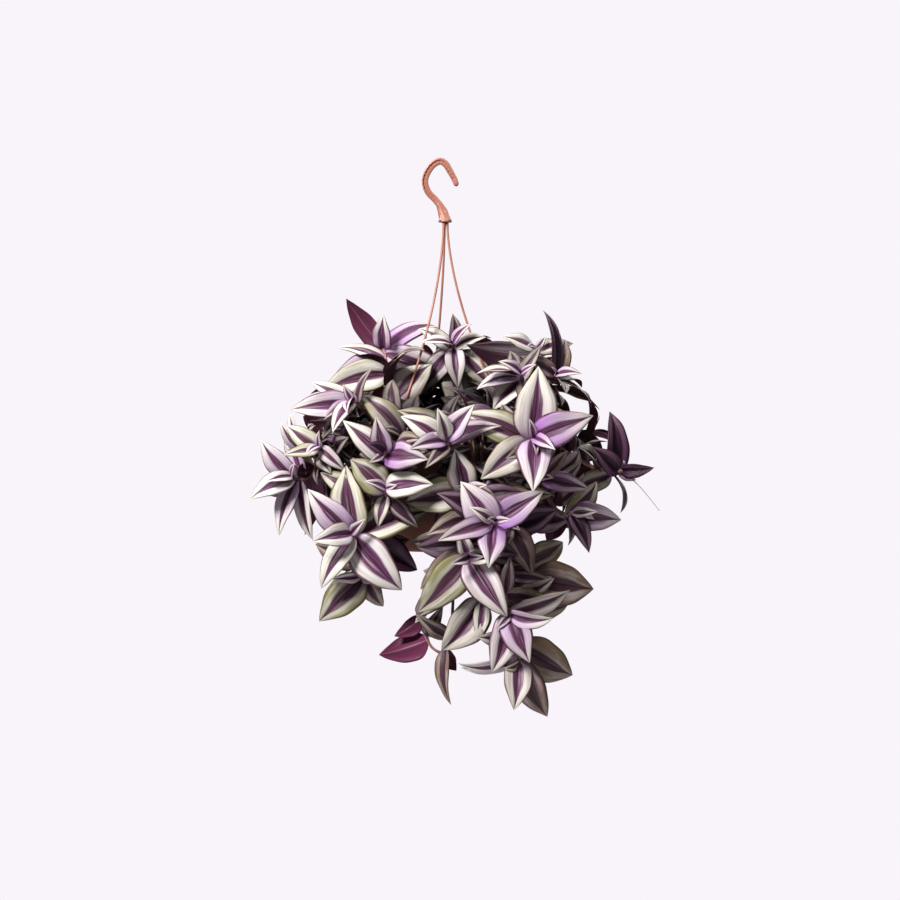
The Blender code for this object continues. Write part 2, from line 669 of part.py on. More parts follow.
def curve_to_mesh(curve, group):
    """The curve's evaluated mesh as an object of its own, with its caps welded."""
    bpy.context.view_layer.update()
    source = curve.evaluated_get(bpy.context.evaluated_depsgraph_get())
    mesh = bpy.data.meshes.new_from_object(source)
    work = bmesh.new()
    work.from_mesh(mesh)
    bmesh.ops.remove_doubles(work, verts=work.verts, dist=0.00001)
    bmesh.ops.recalc_face_normals(work, faces=work.faces)
    work.to_mesh(mesh)
    work.free()
    name = curve.name
    place = curve.matrix_world.copy()
    data = curve.data
    bpy.data.objects.remove(curve, do_unlink=True)
    bpy.data.curves.remove(data)
    obj = bpy.data.objects.new(name, mesh)
    obj.matrix_world = place
    group.objects.link(obj)
    return obj


def cone_object(name, low_radius, high_radius, low, high, group, sides=32, centre=(0.0, 0.0)):
    """An upright round solid between two heights."""
    work = bmesh.new()
    bmesh.ops.create_cone(work, cap_ends=True, segments=sides, radius1=low_radius,
                          radius2=high_radius, depth=high - low)
    mesh = bpy.data.meshes.new(name)
    work.to_mesh(mesh)
    work.free()
    obj = bpy.data.objects.new(name, mesh)
    obj.location = (centre[0], centre[1], (low + high) / 2)
    group.objects.link(obj)
    return obj


def box_object(name, size, centre, turn, group):
    work = bmesh.new()
    bmesh.ops.create_cube(work, size=1.0)
    bmesh.ops.scale(work, vec=size, verts=work.verts)
    mesh = bpy.data.meshes.new(name)
    work.to_mesh(mesh)
    work.free()
    obj = bpy.data.objects.new(name, mesh)
    obj.location = centre
    obj.rotation_euler = (0.0, 0.0, turn)
    group.objects.link(obj)
    return obj


# ------------------------------------------------------------------ the pieces

def band_outline(width, first, last):
    """The hook band's outline: its middle line pushed out to both sides."""
    line = smooth([Vector((x, z)) * MM for x, z in HOOK_LINE], 3)
    line = evenly(line, 34)[first:last]
    left, right = [], []
    for i, point in enumerate(line):
        ahead = (line[min(i + 1, len(line) - 1)] - line[max(i - 1, 0)]).normalized()
        across = Vector((-ahead.y, ahead.x))
        left.append(point + across * width / 2)
        right.append(point - across * width / 2)
    ahead = (line[-1] - line[-2]).normalized()
    across = Vector((-ahead.y, ahead.x))
    nose = [line[-1] + (across * math.cos(angle) + ahead * math.sin(angle)) * width / 2
            for angle in (math.radians(45), math.radians(90), math.radians(135))]
    return [tuple(point) for point in left + nose + right[::-1]]


def make_hook(parts, blanks, plastic):
    hook = curve_to_mesh(flat_curve("hanger_hook", band_outline(BAND_WIDTH, 0, None),
                                    BAND_THICKNESS, parts), parts)
    hook.data.materials.append(plastic)
    for side, face in ((-1, "front"), (1, "back")):
        channel = curve_to_mesh(flat_curve("channel_" + face, band_outline(CHANNEL_WIDTH, 7, -2),
                                           2 * CHANNEL_DEPTH, blanks), blanks)
        channel.location.y = side * BAND_THICKNESS / 2
        boolean(hook, "DIFFERENCE", as_blank(channel))
    skirt = cone_object("hook_skirt", SKIRT_RADII[1], SKIRT_RADII[0], SKIRT_BOTTOM, SKIRT_TOP,
                        blanks, centre=(AXIS_X, 0.0))
    boolean(hook, "UNION", as_blank(skirt))


def make_strands(parts, blanks, plastic):
    for number, degrees in enumerate(STRAND_TURNS, start=1):
        turn = math.radians(degrees)
        strand = curve_to_mesh(round_curve("hanger_strand_%d" % number, strand_route(turn),
                                           STRAND_RADIUS, parts, 2), parts)
        strand.data.materials.append(plastic)
        reach = RIM_RADIUS - LIP_THICKNESS / 2
        slot = LIP_THICKNESS + 1.0 * MM
        depth = slot + 2 * CLIP_LEG
        centre = Vector((AXIS_X + reach * math.cos(turn), reach * math.sin(turn), 0.0))
        block = box_object("clip_%d" % number, (depth, CLIP_WIDTH, CLIP_RISE + CLIP_DROP),
                           centre + Vector((0, 0, RIM_TOP + (CLIP_RISE - CLIP_DROP) / 2)), turn, blanks)
        mouth = box_object("clip_mouth_%d" % number, (slot, CLIP_WIDTH * 2, CLIP_DROP * 2),
                           centre + Vector((0, 0, RIM_TOP + GAP - CLIP_DROP)), turn, blanks)
        boolean(block, "DIFFERENCE", as_blank(mouth))
        boolean(strand, "UNION", as_blank(block))


def make_pot(parts, blanks, plastic):
    profile = [Vector((x, 0.0, z)) for x, z in pot_profile()]
    edges = [(i, (i + 1) % len(profile)) for i in range(len(profile))]
    mesh = bpy.data.meshes.new("pot")
    mesh.from_pydata([tuple(point) for point in profile], edges, [])
    pot = bpy.data.objects.new("pot", mesh)
    pot.location.x = AXIS_X
    parts.objects.link(pot)
    mesh.materials.append(plastic)
    turned = pot.modifiers.new("Turned", "SCREW")
    turned.steps = POT_STEPS
    turned.render_steps = POT_STEPS
    turned.use_merge_vertices = True
    turned.merge_threshold = 0.00005
    turned.use_normal_calculate = True
    base = RIM_TOP - POT_HEIGHT
    for k in range(DRAINS):
        angle = (k + 0.37) * math.tau / DRAINS
        centre = (AXIS_X + DRAIN_CIRCLE * math.cos(angle), DRAIN_CIRCLE * math.sin(angle))
        drain = cone_object("drain_%d" % (k + 1), DRAIN_RADIUS, DRAIN_RADIUS, base - 5 * MM,
                            base + 10 * MM, blanks, sides=12, centre=centre)
        boolean(pot, "DIFFERENCE", as_blank(drain))


def make_soil(parts, earth):
    bottom = RIM_TOP - POT_HEIGHT + FOOT_HEIGHT + FLOOR + GAP
    soil = cone_object("soil", soil_radius(bottom), soil_radius(SOIL_TOP), bottom, SOIL_TOP, parts,
                       sides=POT_STEPS, centre=(AXIS_X, 0.0))
    soil.data.materials.append(earth)


def make_shoot(shoot, parts, blanks, flesh):
    stem = curve_to_mesh(round_curve(shoot.name, shoot.stem, STEM_RADIUS, parts, 0), parts)
    stem.data.materials.append(flesh)
    verts, faces = [], []
    for leaf in shoot.leaves:
        points, sides = leaf_solid(leaf)
        faces += [tuple(i + len(verts) for i in side) for side in sides]
        verts += points
    blades = mesh_object("leaves_of_" + shoot.name, verts, faces, blanks)
    boolean(stem, "UNION", as_blank(blades))


def main():
    clear_scene()
    parts = collection("Potted tradescantia")
    blanks = collection("Blanks")
    plastic = material("Terracotta plastic", (0.62, 0.30, 0.20), 0.45)
    pot_plastic = material("Terracotta pot plastic", (0.45, 0.20, 0.13), 0.5)
    earth = material("Potting soil", (0.05, 0.035, 0.025), 0.95)
    flesh = material("Striped leaf", (0.55, 0.55, 0.50), 0.4)
    make_hook(parts, blanks, plastic)
    make_strands(parts, blanks, plastic)
    make_pot(parts, blanks, pot_plastic)
    make_soil(parts, earth)
    for shoot in lay_out_shoots(holder_obstacles()):
        make_shoot(shoot, parts, blanks, flesh)


main()
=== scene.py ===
"""Hanging potted tradescantia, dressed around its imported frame.

Every leaf, stem, strand and wall is a surface worked out from a formula on a grid, in metres,
+Z up, with the origin at the hook's seat. The shoots grow to the same plan as the frame's solids:
first all stems, then the rosettes, then the leaves inside, and last the young and small leaves
that the frame leaves out.
"""
import math
import random
from collections import namedtuple

import bpy
import numpy as np
from mathutils import Matrix, Vector
from mathutils.bvhtree import BVHTree


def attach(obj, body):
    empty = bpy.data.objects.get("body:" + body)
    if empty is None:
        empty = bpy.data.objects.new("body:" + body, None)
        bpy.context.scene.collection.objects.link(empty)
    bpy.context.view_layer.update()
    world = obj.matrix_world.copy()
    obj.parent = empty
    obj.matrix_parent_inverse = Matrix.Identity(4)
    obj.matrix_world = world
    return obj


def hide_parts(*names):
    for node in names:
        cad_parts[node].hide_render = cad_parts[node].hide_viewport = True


bl_info = {
    "name": "Potted tradescantia",
    "version": (1, 0, 0),
    "blender": (4, 5, 0),
    "location": "View3D > Sidebar > Tradescantia",
    "description": "Grows a striped trailing plant in its hanging pot",
    "category": "Add Mesh",
}

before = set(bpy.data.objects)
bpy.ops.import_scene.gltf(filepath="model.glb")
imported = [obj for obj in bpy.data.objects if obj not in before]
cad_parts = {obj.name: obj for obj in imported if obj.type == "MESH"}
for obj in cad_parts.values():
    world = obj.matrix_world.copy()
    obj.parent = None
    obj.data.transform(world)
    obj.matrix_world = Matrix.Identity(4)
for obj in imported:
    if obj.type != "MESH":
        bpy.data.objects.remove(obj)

MM = 0.001
GAP = 0.3 * MM                      # left between two pieces that touch

# Hanger
AXIS_X = 5.0 * MM                   # the hanger's and the pot's axis, beside the hook's seat
BAND_WIDTH = 5.7 * MM
BAND_THICKNESS = 5.0 * MM
SKIRT_BOTTOM = -50.5 * MM
HOOK_LINE = (                       # middle of the band, x and z in mm, shank to tip
    (4.6, -49.0), (3.6, -40.5), (-3.4, -31.0), (-9.9, -24.0), (-12.6, -16.0),
    (-11.3, -8.6), (-6.4, -1.0), (0.0, 2.85), (5.2, 0.6), (9.8, -6.8), (13.6, -13.9), (15.2, -19.0),
)
STRAND_RADIUS = 1.0 * MM
STRAND_TOP_REACH = 1.9 * MM         # from the axis to a strand, under the skirt
STRAND_BOW = 1.66                   # power of the curve that a strand follows outwards
STRAND_TURNS = (-14.7, -134.7, 105.3)

# Pot and soil
RIM_TOP = -240.0 * MM
RIM_RADIUS = 66.0 * MM
LIP_THICKNESS = 3.0 * MM
LIP_HEIGHT = 9.0 * MM
POT_HEIGHT = 97.0 * MM
BASE_RADIUS = 47.0 * MM
WALL = 1.6 * MM
FLOOR = 2.0 * MM
FOOT_HEIGHT = 2.5 * MM
DRAIN_RADIUS = 4.0 * MM
DRAIN_CIRCLE = 28.0 * MM
DRAINS = 6
SOIL_TOP = RIM_TOP - 12.0 * MM

# Clips at the strands' ends
CLIP_WIDTH = 7.0 * MM
CLIP_LEG = 2.0 * MM
CLIP_RISE = 3.0 * MM                # above the rim
CLIP_DROP = 6.0 * MM                # below the rim

# Shoots
STEM_RADIUS = 1.6 * MM
LEAF_THICKNESS = 1.0 * MM           # at the midrib
CLEARANCE = 1.1 * MM                # kept between leaves of different shoots
LEAF_SHARES = (0.10, 0.40, 0.75)    # stations along a leaf
LEAF_ARCH = (0.45, 1.0)             # radians that a midrib bends by, least and most
LEAF_FOLD = (0.12, 0.42)            # rise of the margins, over the half width
LEAF_TWIST = (-0.35, 0.35)          # radians, from base to tip
LEAF_SHRINK = 0.3                   # share that a leaf has lost by its last try
CLASP_REACH = 4.0 * MM              # a leaf's base clasps the stem this far from its middle
OUTLINE_RISE = 0.85                 # leaf outline: share ** rise * (1 - share) ** fall
OUTLINE_FALL = 1.2
STEM_SPAN = 14.0 * MM               # between two points of a stem
STEM_TRIES = 400
STEM_ORDER = (0, 14, 9, 8, 10, 11, 12, 26)  # the longest routes are laid first
ROSETTE_FIRST = 1.5                 # mm from the stem's tip to its youngest leaf
ROSETTE_STEP = 4.0                  # mm between two leaves of a rosette, along the stem
INNER_FIRST = 30.0 * MM             # first inner leaf, behind the stem's tip
INNER_SPACING = 19.0 * MM
INNER_LEAVES = 3
INNER_END = 25.0 * MM               # of stem above the soil without inner leaves
INNER_LIFT = 0.7                    # how far up an inner leaf faces, beside outwards
BARE_SHOOTS = ("shoot_15",)         # a bare stem trails between its few leaves
GOLDEN = math.radians(137.508)

# The foliage's ball, on which the other shoots' tips lie
CROWN_CENTRE = Vector((10.0, 4.0, -250.0)) * MM
CROWN_SEMI = Vector((126.0, 122.0, 92.0)) * MM
CROWN_SITES = 52
CROWN_FRONT = -62.0 * MM            # in front of this plane stand only the named shoots
CROWN_LOWEST = -0.72                # lowest tip, as a share of the ball's half height
CROWN_SPACING = 42.0 * MM
CROWN_LIFT = 0.15
CROWN_TURN = 144                    # degrees from one leaf of a rosette to the next
CROWN_LEAVES = (                    # length, width, lean; oldest first
    (57, 28, -6), (54, 27, 2), (50, 25, 12), (44, 21, 24), (32, 14, 42),
)

# Shoots in front, given one by one. Each: tip and facing, route on the way to the tip, and its
# leaves,
# oldest first: (distance behind the tip, or None in the rosette, clock angle seen from the front,
# length, width, lean towards the front, roll), in mm and degrees.
FRONT_SHOOTS = (
    ((-50, 6, -158), (-0.2, -0.85, 0.5), ((-24, -38, -230), (-37, -26, -208)), (
        (58, 40, 48, 34, -4, 16), (32, 193, 62, 30, 14, -14), (15, 166, 46, 14, -14, 0),
        (12, 188, 66, 27, 6, -6), (9, 340, 66, 28, -10, 20), (6.5, 17, 70, 29, -18, 10),
        (4, 127, 56, 21, 5, 180), (1.5, 74, 44, 24, 4, 10))),
    ((6, -118, -239), (-0.05, -0.9, 0.45), (), (
        (None, 146, 47, 23, 8, 0), (None, 220, 42, 20, 5, 30), (None, 53, 40, 20, 22, 0),
        (None, 106, 30, 15, 35, 0))),
    ((-45, -112, -251), (-0.15, -0.95, 0.3), (), (
        (None, 138, 48, 22, 8, 0), (None, 357, 42, 26, 32, 0), (None, 99, 36, 20, 30, 0),
        (None, 150, 24, 12, 52, 0))),
    ((-44, -103, -281), (-0.1, -0.9, 0.35), (), (
        (None, 262, 30, 15, -8, 0), (None, 125, 46, 31, 6, 0), (None, 6, 42, 24, 18, 0))),
    ((-72, -108, -318), (-0.2, -0.95, 0.1), (), (
        (None, 18, 64, 30, -3, -6), (None, 99, 61, 33, -2, 0), (None, 312, 61, 36, 5, 0),
        (None, 238, 52, 23, 10, 0), (None, 134, 55, 26, 14, 0), (None, 190, 38, 20, 34, 0),
        (24, 325, 64, 28, -16, 0))),
    ((77, -124, -239), (0.15, -0.97, 0.15), (), (
        (None, 157, 58, 29, -6, 0), (None, 218, 52, 29, -2, 0), (None, 85, 62, 37, 4, 0),
        (None, 270, 50, 30, 34, 0), (None, 21, 55, 29, 17, 0), (None, 330, 30, 12, 50, 0))),
    ((44, -132, -307), (0.05, -0.97, 0.15), (), (
        (None, 33, 52, 25, 3, 0), (None, 125, 46, 30, 10, 0), (None, 264, 45, 26, 42, 0),
        (None, 197, 50, 19, 18, 0), (None, 147, 28, 11, 36, 0))),
    ((25, -120, -336), (0.05, -0.95, -0.1), (), (
        (22, 220, 54, 26, -10, 0), (None, 228, 62, 32, 0, 0), (None, 303, 60, 31, 8, 0),
        (None, 110, 27, 14, 22, 0), (None, 2, 32, 14, 36, 0), (30, 186, 46, 24, -12, 0))),
    ((59, -112, -384), (0.1, -0.88, -0.35), (), (
        (None, 19, 54, 23, 0, 0), (None, 254, 53, 26, 4, 0), (None, 291, 46, 28, 20, 0),
        (None, 354, 40, 18, 30, 0))),
    ((65, -100, -425), (0.1, -0.75, -0.6), (), (
        (23, 328, 62, 38, -10, -30), (6, 297, 58, 29, -8, 0), (None, 194, 48, 16, -6, 0),
        (None, 187, 50, 18, 8, 0), (None, 266, 44, 26, 24, 0), (None, 205, 18, 10, 42, 0))),
    ((36, -96, -375), (-0.1, -0.88, -0.3), (), (
        (None, 230, 55, 33, 4, 0), (None, 275, 40, 18, -10, 0))),
    ((-64, -90, -354), (-0.2, -0.9, -0.2), (), (
        (None, 300, 32, 20, -8, 0), (None, 226, 54, 31, 4, 0), (None, 185, 28, 10, 22, 0))),
    ((79, -70, -357), (0.3, -0.85, -0.1), (), (
        (None, 350, 55, 38, -5, 0), (None, 250, 40, 22, -5, 0))),
    ((60, -88, -312), (0.2, -0.9, 0.1), (), (
        (None, 20, 46, 24, -10, 0), (None, 295, 46, 24, 4, 0), (None, 248, 28, 11, 12, 0))),
    ((-15, -72, -389), (0.0, -0.92, 0.4), ((12, -86, -320), (11, -80, -390), (4, -75, -421),
                                          (-9, -73, -411)), (
        (46, 258, 56, 17, 0, 50), (38, 305, 20, 15, 0, 180), (21, 198, 44, 25, 0, 180),
        (2, 214, 28, 16, 0, 180))),
    ((157, -30, -267), (0.75, -0.6, 0.1), (), (
        (None, 200, 40, 20, -10, 20), (None, 93, 56, 24, 5, -32), (None, 128, 40, 22, 4, -24),
        (None, 5, 30, 13, 20, 20))),
    ((112, -80, -302), (0.45, -0.85, 0.05), (), (
        (None, 47, 41, 20, -4, 0), (None, 355, 46, 25, 4, 0), (None, 300, 40, 17, 6, 0),
        (None, 4, 24, 10, 32, 0))),
    ((99, -50, -186), (0.3, -0.85, 0.4), (), (
        (None, 74, 38, 18, -14, 0), (None, 97, 60, 20, 2, 30), (None, 152, 38, 16, 14, 0))),
    ((82, -40, -164), (0.15, -0.75, 0.6), (), (
        (22, 212, 50, 27, 0, 0), (None, 172, 60, 32, -2, 165), (None, 10, 40, 20, 0, 0),
        (None, 158, 34, 16, 24, 0))),
    ((68, -85, -186), (0.1, -0.85, 0.45), (), (
        (None, 225, 36, 22, -6, 0), (None, 191, 40, 18, 4, 20), (None, 176, 40, 20, 18, 40),
        (None, 150, 26, 12, 34, 0))),
    ((12, -14, -158), (0.0, -0.7, 0.7), (), (
        (26, 272, 50, 28, 2, 0), (16, 318, 48, 26, 6, 0), (13, 232, 46, 24, 8, 0),
        (None, 140, 40, 17, -4, 0), (None, 25, 36, 16, -4, 0), (None, 278, 38, 19, 16, 0),
        (None, 176, 30, 13, 20, 0))),
    ((-126, -45, -272), (-0.5, -0.85, 0.1), (), (
        (None, 262, 60, 22, -24, 180), (None, 207, 42, 20, -22, 180), (None, 105, 54, 18, -6, 0),
        (None, 280, 54, 18, -2, 0), (None, 252, 50, 19, 8, 0), (None, 131, 46, 23, 10, 0),
        (None, 205, 43, 22, 20, 0), (None, 190, 28, 12, 38, 0))),
    ((-116, -58, -249), (-0.5, -0.8, 0.3), (), (
        (None, 112, 36, 17, 4, 0), (None, 129, 32, 13, 20, 0))),
    ((-100, -84, -247), (-0.3, -0.9, 0.25), (), (
        (None, 144, 38, 19, 0, 0), (None, 189, 32, 13, 6, 0), (None, 318, 30, 13, 10, 0))),
    ((-72, -85, -210), (-0.35, -0.9, 0.25), (), (
        (None, 196, 48, 20, -12, 180), (None, 153, 46, 17, 2, 0), (None, 184, 57, 24, 8, -10),
        (None, 214, 34, 15, 14, 0), (None, 237, 36, 17, 32, 0))),
    ((85, -98, -272), (0.25, -0.9, 0.2), (), (
        (None, 350, 42, 18, 4, 0), (None, 46, 32, 13, 8, 0))),
    ((22, -98, -283), (0.0, -0.95, 0.2), (), (
        (28, 76, 28, 20, 5, 0), (None, 188, 54, 31, -4, 0), (None, 104, 37, 26, 14, 0),
        (14, 230, 46, 24, -14, 0))),
)

FRONT_LOOKS = (                     # the finish of each of those leaves, by its letter in LOOKS
    "GGWLSVPL", "SPLW", "SVPD", "SOW", "GGWWLWD", "OGSLVV", "VLVPW", "OOSWWD", "GSPL", "KKWSWO",
    "GW", "KOW", "KK", "DKO", "KVVV", "ODDD", "OPDW", "KDK", "GDOS", "WLSL", "GGSSWSW",
    "VVLWLLWW", "LL", "GGS", "DWLPW", "PK", "GOSD",
)
CROWN_LOOKS = ("OKGOG", "OGKSD", "GSLOW", "SWLGV", "VLWPL")  # to choose from, oldest leaf first
INNER_LOOKS = "KODKP"

Leaf = namedtuple("Leaf", "base along up length width arch fold twist")
Shoot = namedtuple("Shoot", "number name stem facing leaves looks")


# ------------------------------------------------------------------ curves and sections

def smooth(points, per_span):
    """Points on a Catmull-Rom curve through the given ones."""
    ends = [2 * points[0] - points[1]] + list(points) + [2 * points[-1] - points[-2]]
    result = []
    for a, b, c, d in zip(ends, ends[1:], ends[2:], ends[3:]):
        for step in range(per_span):
            t = step / per_span
            result.append(0.5 * (2 * b + (c - a) * t + (2 * a - 5 * b + 4 * c - d) * t * t
                                 + (3 * b - a - 3 * c + d) * t ** 3))
    result.append(points[-1].copy())
    return result


def length_of(points):
    """The length of a route."""
    return sum((b - a).length for a, b in zip(points, points[1:]))


def evenly(points, count):
    """The same route with a number of points evenly spaced along it."""
    lengths = [0.0]
    for a, b in zip(points, points[1:]):
        lengths.append(lengths[-1] + (b - a).length)
    result = []
    for share in np.linspace(0.0, lengths[-1], count):
        i = min(int(np.searchsorted(lengths, share, side="right")) - 1, len(points) - 2)
        t = (share - lengths[i]) / (lengths[i + 1] - lengths[i])
        result.append(points[i].lerp(points[i + 1], t))
    return result


def behind_tip(points, distance):
    """The place on a route at a distance behind its last point."""
    for b, a in zip(reversed(points), reversed(points[:-1])):
        span = (b - a).length
        if distance <= span:
            return b.lerp(a, distance / span)
        distance -= span
    return points[0].copy()


def loft(sections, start=None, end=None):
    """Points and faces of closed rings joined in order; an end is a point or a flat cap."""
    size = len(sections[0])
    verts = [point for ring in sections for point in ring]
    faces = []
    for k in range(len(sections) - 1):
        for i in range(size):
            j = (i + 1) % size
            faces.append((k * size + i, k * size + j, (k + 1) * size + j, (k + 1) * size + i))
    last = (len(sections) - 1) * size
    if start is None:
        faces.append(tuple(reversed(range(size))))
    else:
        verts.append(start)
        faces += [((i + 1) % size, i, len(verts) - 1) for i in range(size)]
    if end is None:
        faces.append(tuple(range(last, last + size)))
    else:
        verts.append(end)
        faces += [(last + i, last + (i + 1) % size, len(verts) - 1) for i in range(size)]
    return verts, faces


def tube(points, radius, sides=6):
    """A round tube's rings along a route, lofted."""
    rings = []
    for i, point in enumerate(points):
        ahead = (points[min(i + 1, len(points) - 1)] - points[max(i - 1, 0)]).normalized()
        across = ahead.orthogonal().normalized()
        if i:
            across = (last - ahead * last.dot(ahead)).normalized()
        last = across
        other = ahead.cross(across)
        rings.append([point + (across * math.cos(k * math.tau / sides)
                               + other * math.sin(k * math.tau / sides)) * radius
                      for k in range(sides)])
    return loft(rings)


# ------------------------------------------------------------------ leaves

def half_width(leaf, share):
    """An ovate outline: rises fast from the base and narrows to a pointed tip."""
    peak = OUTLINE_RISE / (OUTLINE_RISE + OUTLINE_FALL)
    full = peak ** OUTLINE_RISE * (1 - peak) ** OUTLINE_FALL
    return leaf.width / 2 * share ** OUTLINE_RISE * (1 - share) ** OUTLINE_FALL / full


def midrib(leaf, share):
    """Point, side and upper normal at a share of the midrib, which is an arc of the leaf's arch."""
    half = leaf.arch / 2
    heading = half - leaf.arch * share
    reach = leaf.length / (2 * math.sin(half))
    point = (leaf.base + leaf.along * reach * (math.sin(half) - math.sin(heading))
             + leaf.up * reach * (math.cos(heading) - math.cos(half)))
    ahead = leaf.along * math.cos(heading) + leaf.up * math.sin(heading)
    normal = leaf.up * math.cos(heading) - leaf.along * math.sin(heading)
    turn = Matrix.Rotation(leaf.twist * share, 3, ahead)
    return point, turn @ ahead.cross(normal), turn @ normal


def leaf_section(leaf, share, swell):
    """A folded lens across the leaf: two raised margins, and the midrib's top and bottom."""
    point, side, normal = midrib(leaf, share)
    reach = half_width(leaf, share)
    rise = leaf.fold * reach
    middle = LEAF_THICKNESS / 2 + swell
    if not swell:
        return [point - side * reach + normal * rise, point + normal * middle,
                point + side * reach + normal * rise, point - normal * middle]
    reach += swell
    low, high = normal * (rise - swell), normal * (rise + swell)
    return [point - side * reach + low, point - side * reach + high, point + normal * middle,
            point + side * reach + high, point + side * reach + low, point - normal * middle]


def split_alike(faces, ring):
    """Quads split from the earlier section's margin to the later one's midrib, so that a twisted
    leaf's upper and lower sides follow each other and never cross."""
    from_margin = (0, 2) if ring == 4 else (1, 4)
    result = []
    for k, face in enumerate(faces):
        if len(face) == 3:
            result.append(face)
            continue
        a, b, c, d = face
        if k % ring in from_margin:
            result += [(a, b, c), (a, c, d)]
        else:
            result += [(a, b, d), (b, c, d)]
    return result


def leaf_solid(leaf, swell=0.0, first=0.0):
    """The leaf as a closed solid, pointed at both ends, or swollen and begun further out."""
    sections = [leaf_section(leaf, share, swell) for share in LEAF_SHARES if share > first]
    start = midrib(leaf, first)[0]
    end = midrib(leaf, 1.0)[0] + leaf.along * swell
    verts, faces = loft(sections, start, end)
    return verts, split_alike(faces, len(sections[0]))


# ------------------------------------------------------------------ room between pieces

class Thicket:
    """Everything placed so far: boxes for a first test, trees of faces for the second."""

    def __init__(self):
        self.boxes = np.empty((0, 6))
        self.trees = []
        self.owners = []

    def add(self, solid, name, kind):
        verts, faces = solid
        cloud = np.array(verts)
        box = np.concatenate((cloud.min(axis=0), cloud.max(axis=0)))
        self.boxes = np.vstack((self.boxes, box))
        self.trees.append(BVHTree.FromPolygons(verts, faces))
        self.owners.append((name, kind))

    def touched(self, solid, counts):
        """Whether a solid meets any placed piece whose owner counts."""
        verts, faces = solid
        cloud = np.array(verts)
        low, high = cloud.min(axis=0), cloud.max(axis=0)
        near = np.all((self.boxes[:, :3] <= high) & (self.boxes[:, 3:] >= low), axis=1)
        tree = None
        for i in np.flatnonzero(near):
            if counts(self.owners[i]):
                tree = tree or BVHTree.FromPolygons(verts, faces)
                if tree.overlap(self.trees[i]):
                    return True
        return False


def leaf_fits(thicket, leaf, name, clearance):
    """A leaf keeps its distance from other shoots, and its blade clears its own shoot."""
    blade = leaf_solid(leaf, first=CLASP_REACH / leaf.length)
    return not (thicket.touched(leaf_solid(leaf, clearance), lambda owner: owner[0] != name)
                or thicket.touched(leaf_solid(leaf), lambda owner: owner == (name, "leaf"))
                or thicket.touched(blade, lambda owner: owner == (name, "stem")))


# ------------------------------------------------------------------ layout of the shoots

def upper_side(along, facing, roll):
    """The upper side's normal: the facing made square to the leaf, rolled about the leaf."""
    up = facing - along * facing.dot(along)
    if up.length < 0.05:
        up = along.orthogonal()
    return Matrix.Rotation(math.radians(roll), 3, along) @ up.normalized()


def clock_direction(right, upward, out, clock, lean):
    """A direction by its clock angle in a plane and its lean out of that plane."""
    clock, lean = math.radians(clock), math.radians(lean)
    flat = right * math.cos(clock) + upward * math.sin(clock)
    return flat * math.cos(lean) + out * math.sin(lean)


def place_leaf(thicket, shoot, draw, look, back, directions, shape, facing, roll, tries, sway,
               clearance=CLEARANCE):
    """Adds one leaf where it has room: each try turns, leans, moves and shortens it a bit more."""
    right, upward, out = directions
    clock, length, width, lean = shape
    for attempt in range(tries):
        spread = sway * attempt
        shift = draw.uniform(-0.1, 0.1) * spread * MM
        base = behind_tip(shoot.stem, max(back + shift, MM))
        along = clock_direction(right, upward, out, clock + draw.uniform(-spread, spread),
                                lean + draw.uniform(-spread, spread))
        up = upper_side(along, facing, roll + draw.uniform(-spread, spread))
        size = (1 - LEAF_SHRINK * attempt / tries) * MM
        leaf = Leaf(base, along, up, length * size, width * size, draw.uniform(*LEAF_ARCH),
                    draw.uniform(*LEAF_FOLD), draw.uniform(*LEAF_TWIST))
        if leaf_fits(thicket, leaf, shoot.name, clearance):
            thicket.add(leaf_solid(leaf), shoot.name, "leaf")
            shoot.leaves.append(leaf)
            shoot.looks.append(look)
            return


def around_axis(turn, reach, height):
    """A place by its turn about the pot's axis, its distance from it and its height."""
    return Vector((AXIS_X + math.cos(turn) * reach, math.sin(turn) * reach, height))


def stem_route(tip, facing, via, draw, spread):
    """From the soil over the rim to the tip, where it arrives along its facing."""
    goal = via[0] if via else tip
    aim = math.atan2(goal.y, goal.x - AXIS_X)
    turn = aim + draw.uniform(-0.6, 0.6) * spread
    reach = draw.uniform(10, 54) * MM
    root = around_axis(turn, reach, SOIL_TOP + 2 * GAP)
    points = [root, around_axis(turn, reach + 1.5 * MM, SOIL_TOP + 11 * MM)]
    lift = draw.uniform(10, 14 + 18 * spread) * MM
    rim = RIM_RADIUS + draw.uniform(8, 12 + 14 * spread) * MM
    if via or tip.z < RIM_TOP + 30 * MM:
        over = aim + draw.uniform(-0.35, 0.35) * spread
        points.append(around_axis((turn + over) / 2, (reach + rim) / 2, RIM_TOP + lift + 3 * MM))
        points.append(around_axis(over, rim, RIM_TOP + lift - 3 * MM))
        if not via and tip.z < RIM_TOP - 45 * MM:
            distance = Vector((tip.x - AXIS_X, tip.y)).length
            fall = min(distance - 12 * MM, rim + draw.uniform(6, 22) * MM)
            points.append(around_axis(aim + draw.uniform(-0.3, 0.3) * spread, fall,
                                      (RIM_TOP + tip.z) / 2 + 8 * MM))
    points += via if via else [tip - facing * 22 * MM]
    points.append(tip)
    curve = smooth(points, 6)
    return evenly(curve, max(6, round(length_of(curve) / STEM_SPAN) + 1))


def place_stem(thicket, name, tip, facing, via, draw):
    """The first clear route among many, which swing further out at each try."""
    for attempt in range(STEM_TRIES):
        route = stem_route(tip, facing, via, draw, attempt / STEM_TRIES)
        above_soil = [route[0].lerp(route[1], 0.3)] + route[1:]
        if not thicket.touched(tube(above_soil, STEM_RADIUS + CLEARANCE), lambda owner: True):
            thicket.add(tube(route, STEM_RADIUS + GAP), name, "stem")
            return route
    return None


def lifted(outward, lift):
    """A direction turned up by the lift."""
    return (outward + Vector((0.0, 0.0, lift))).normalized()


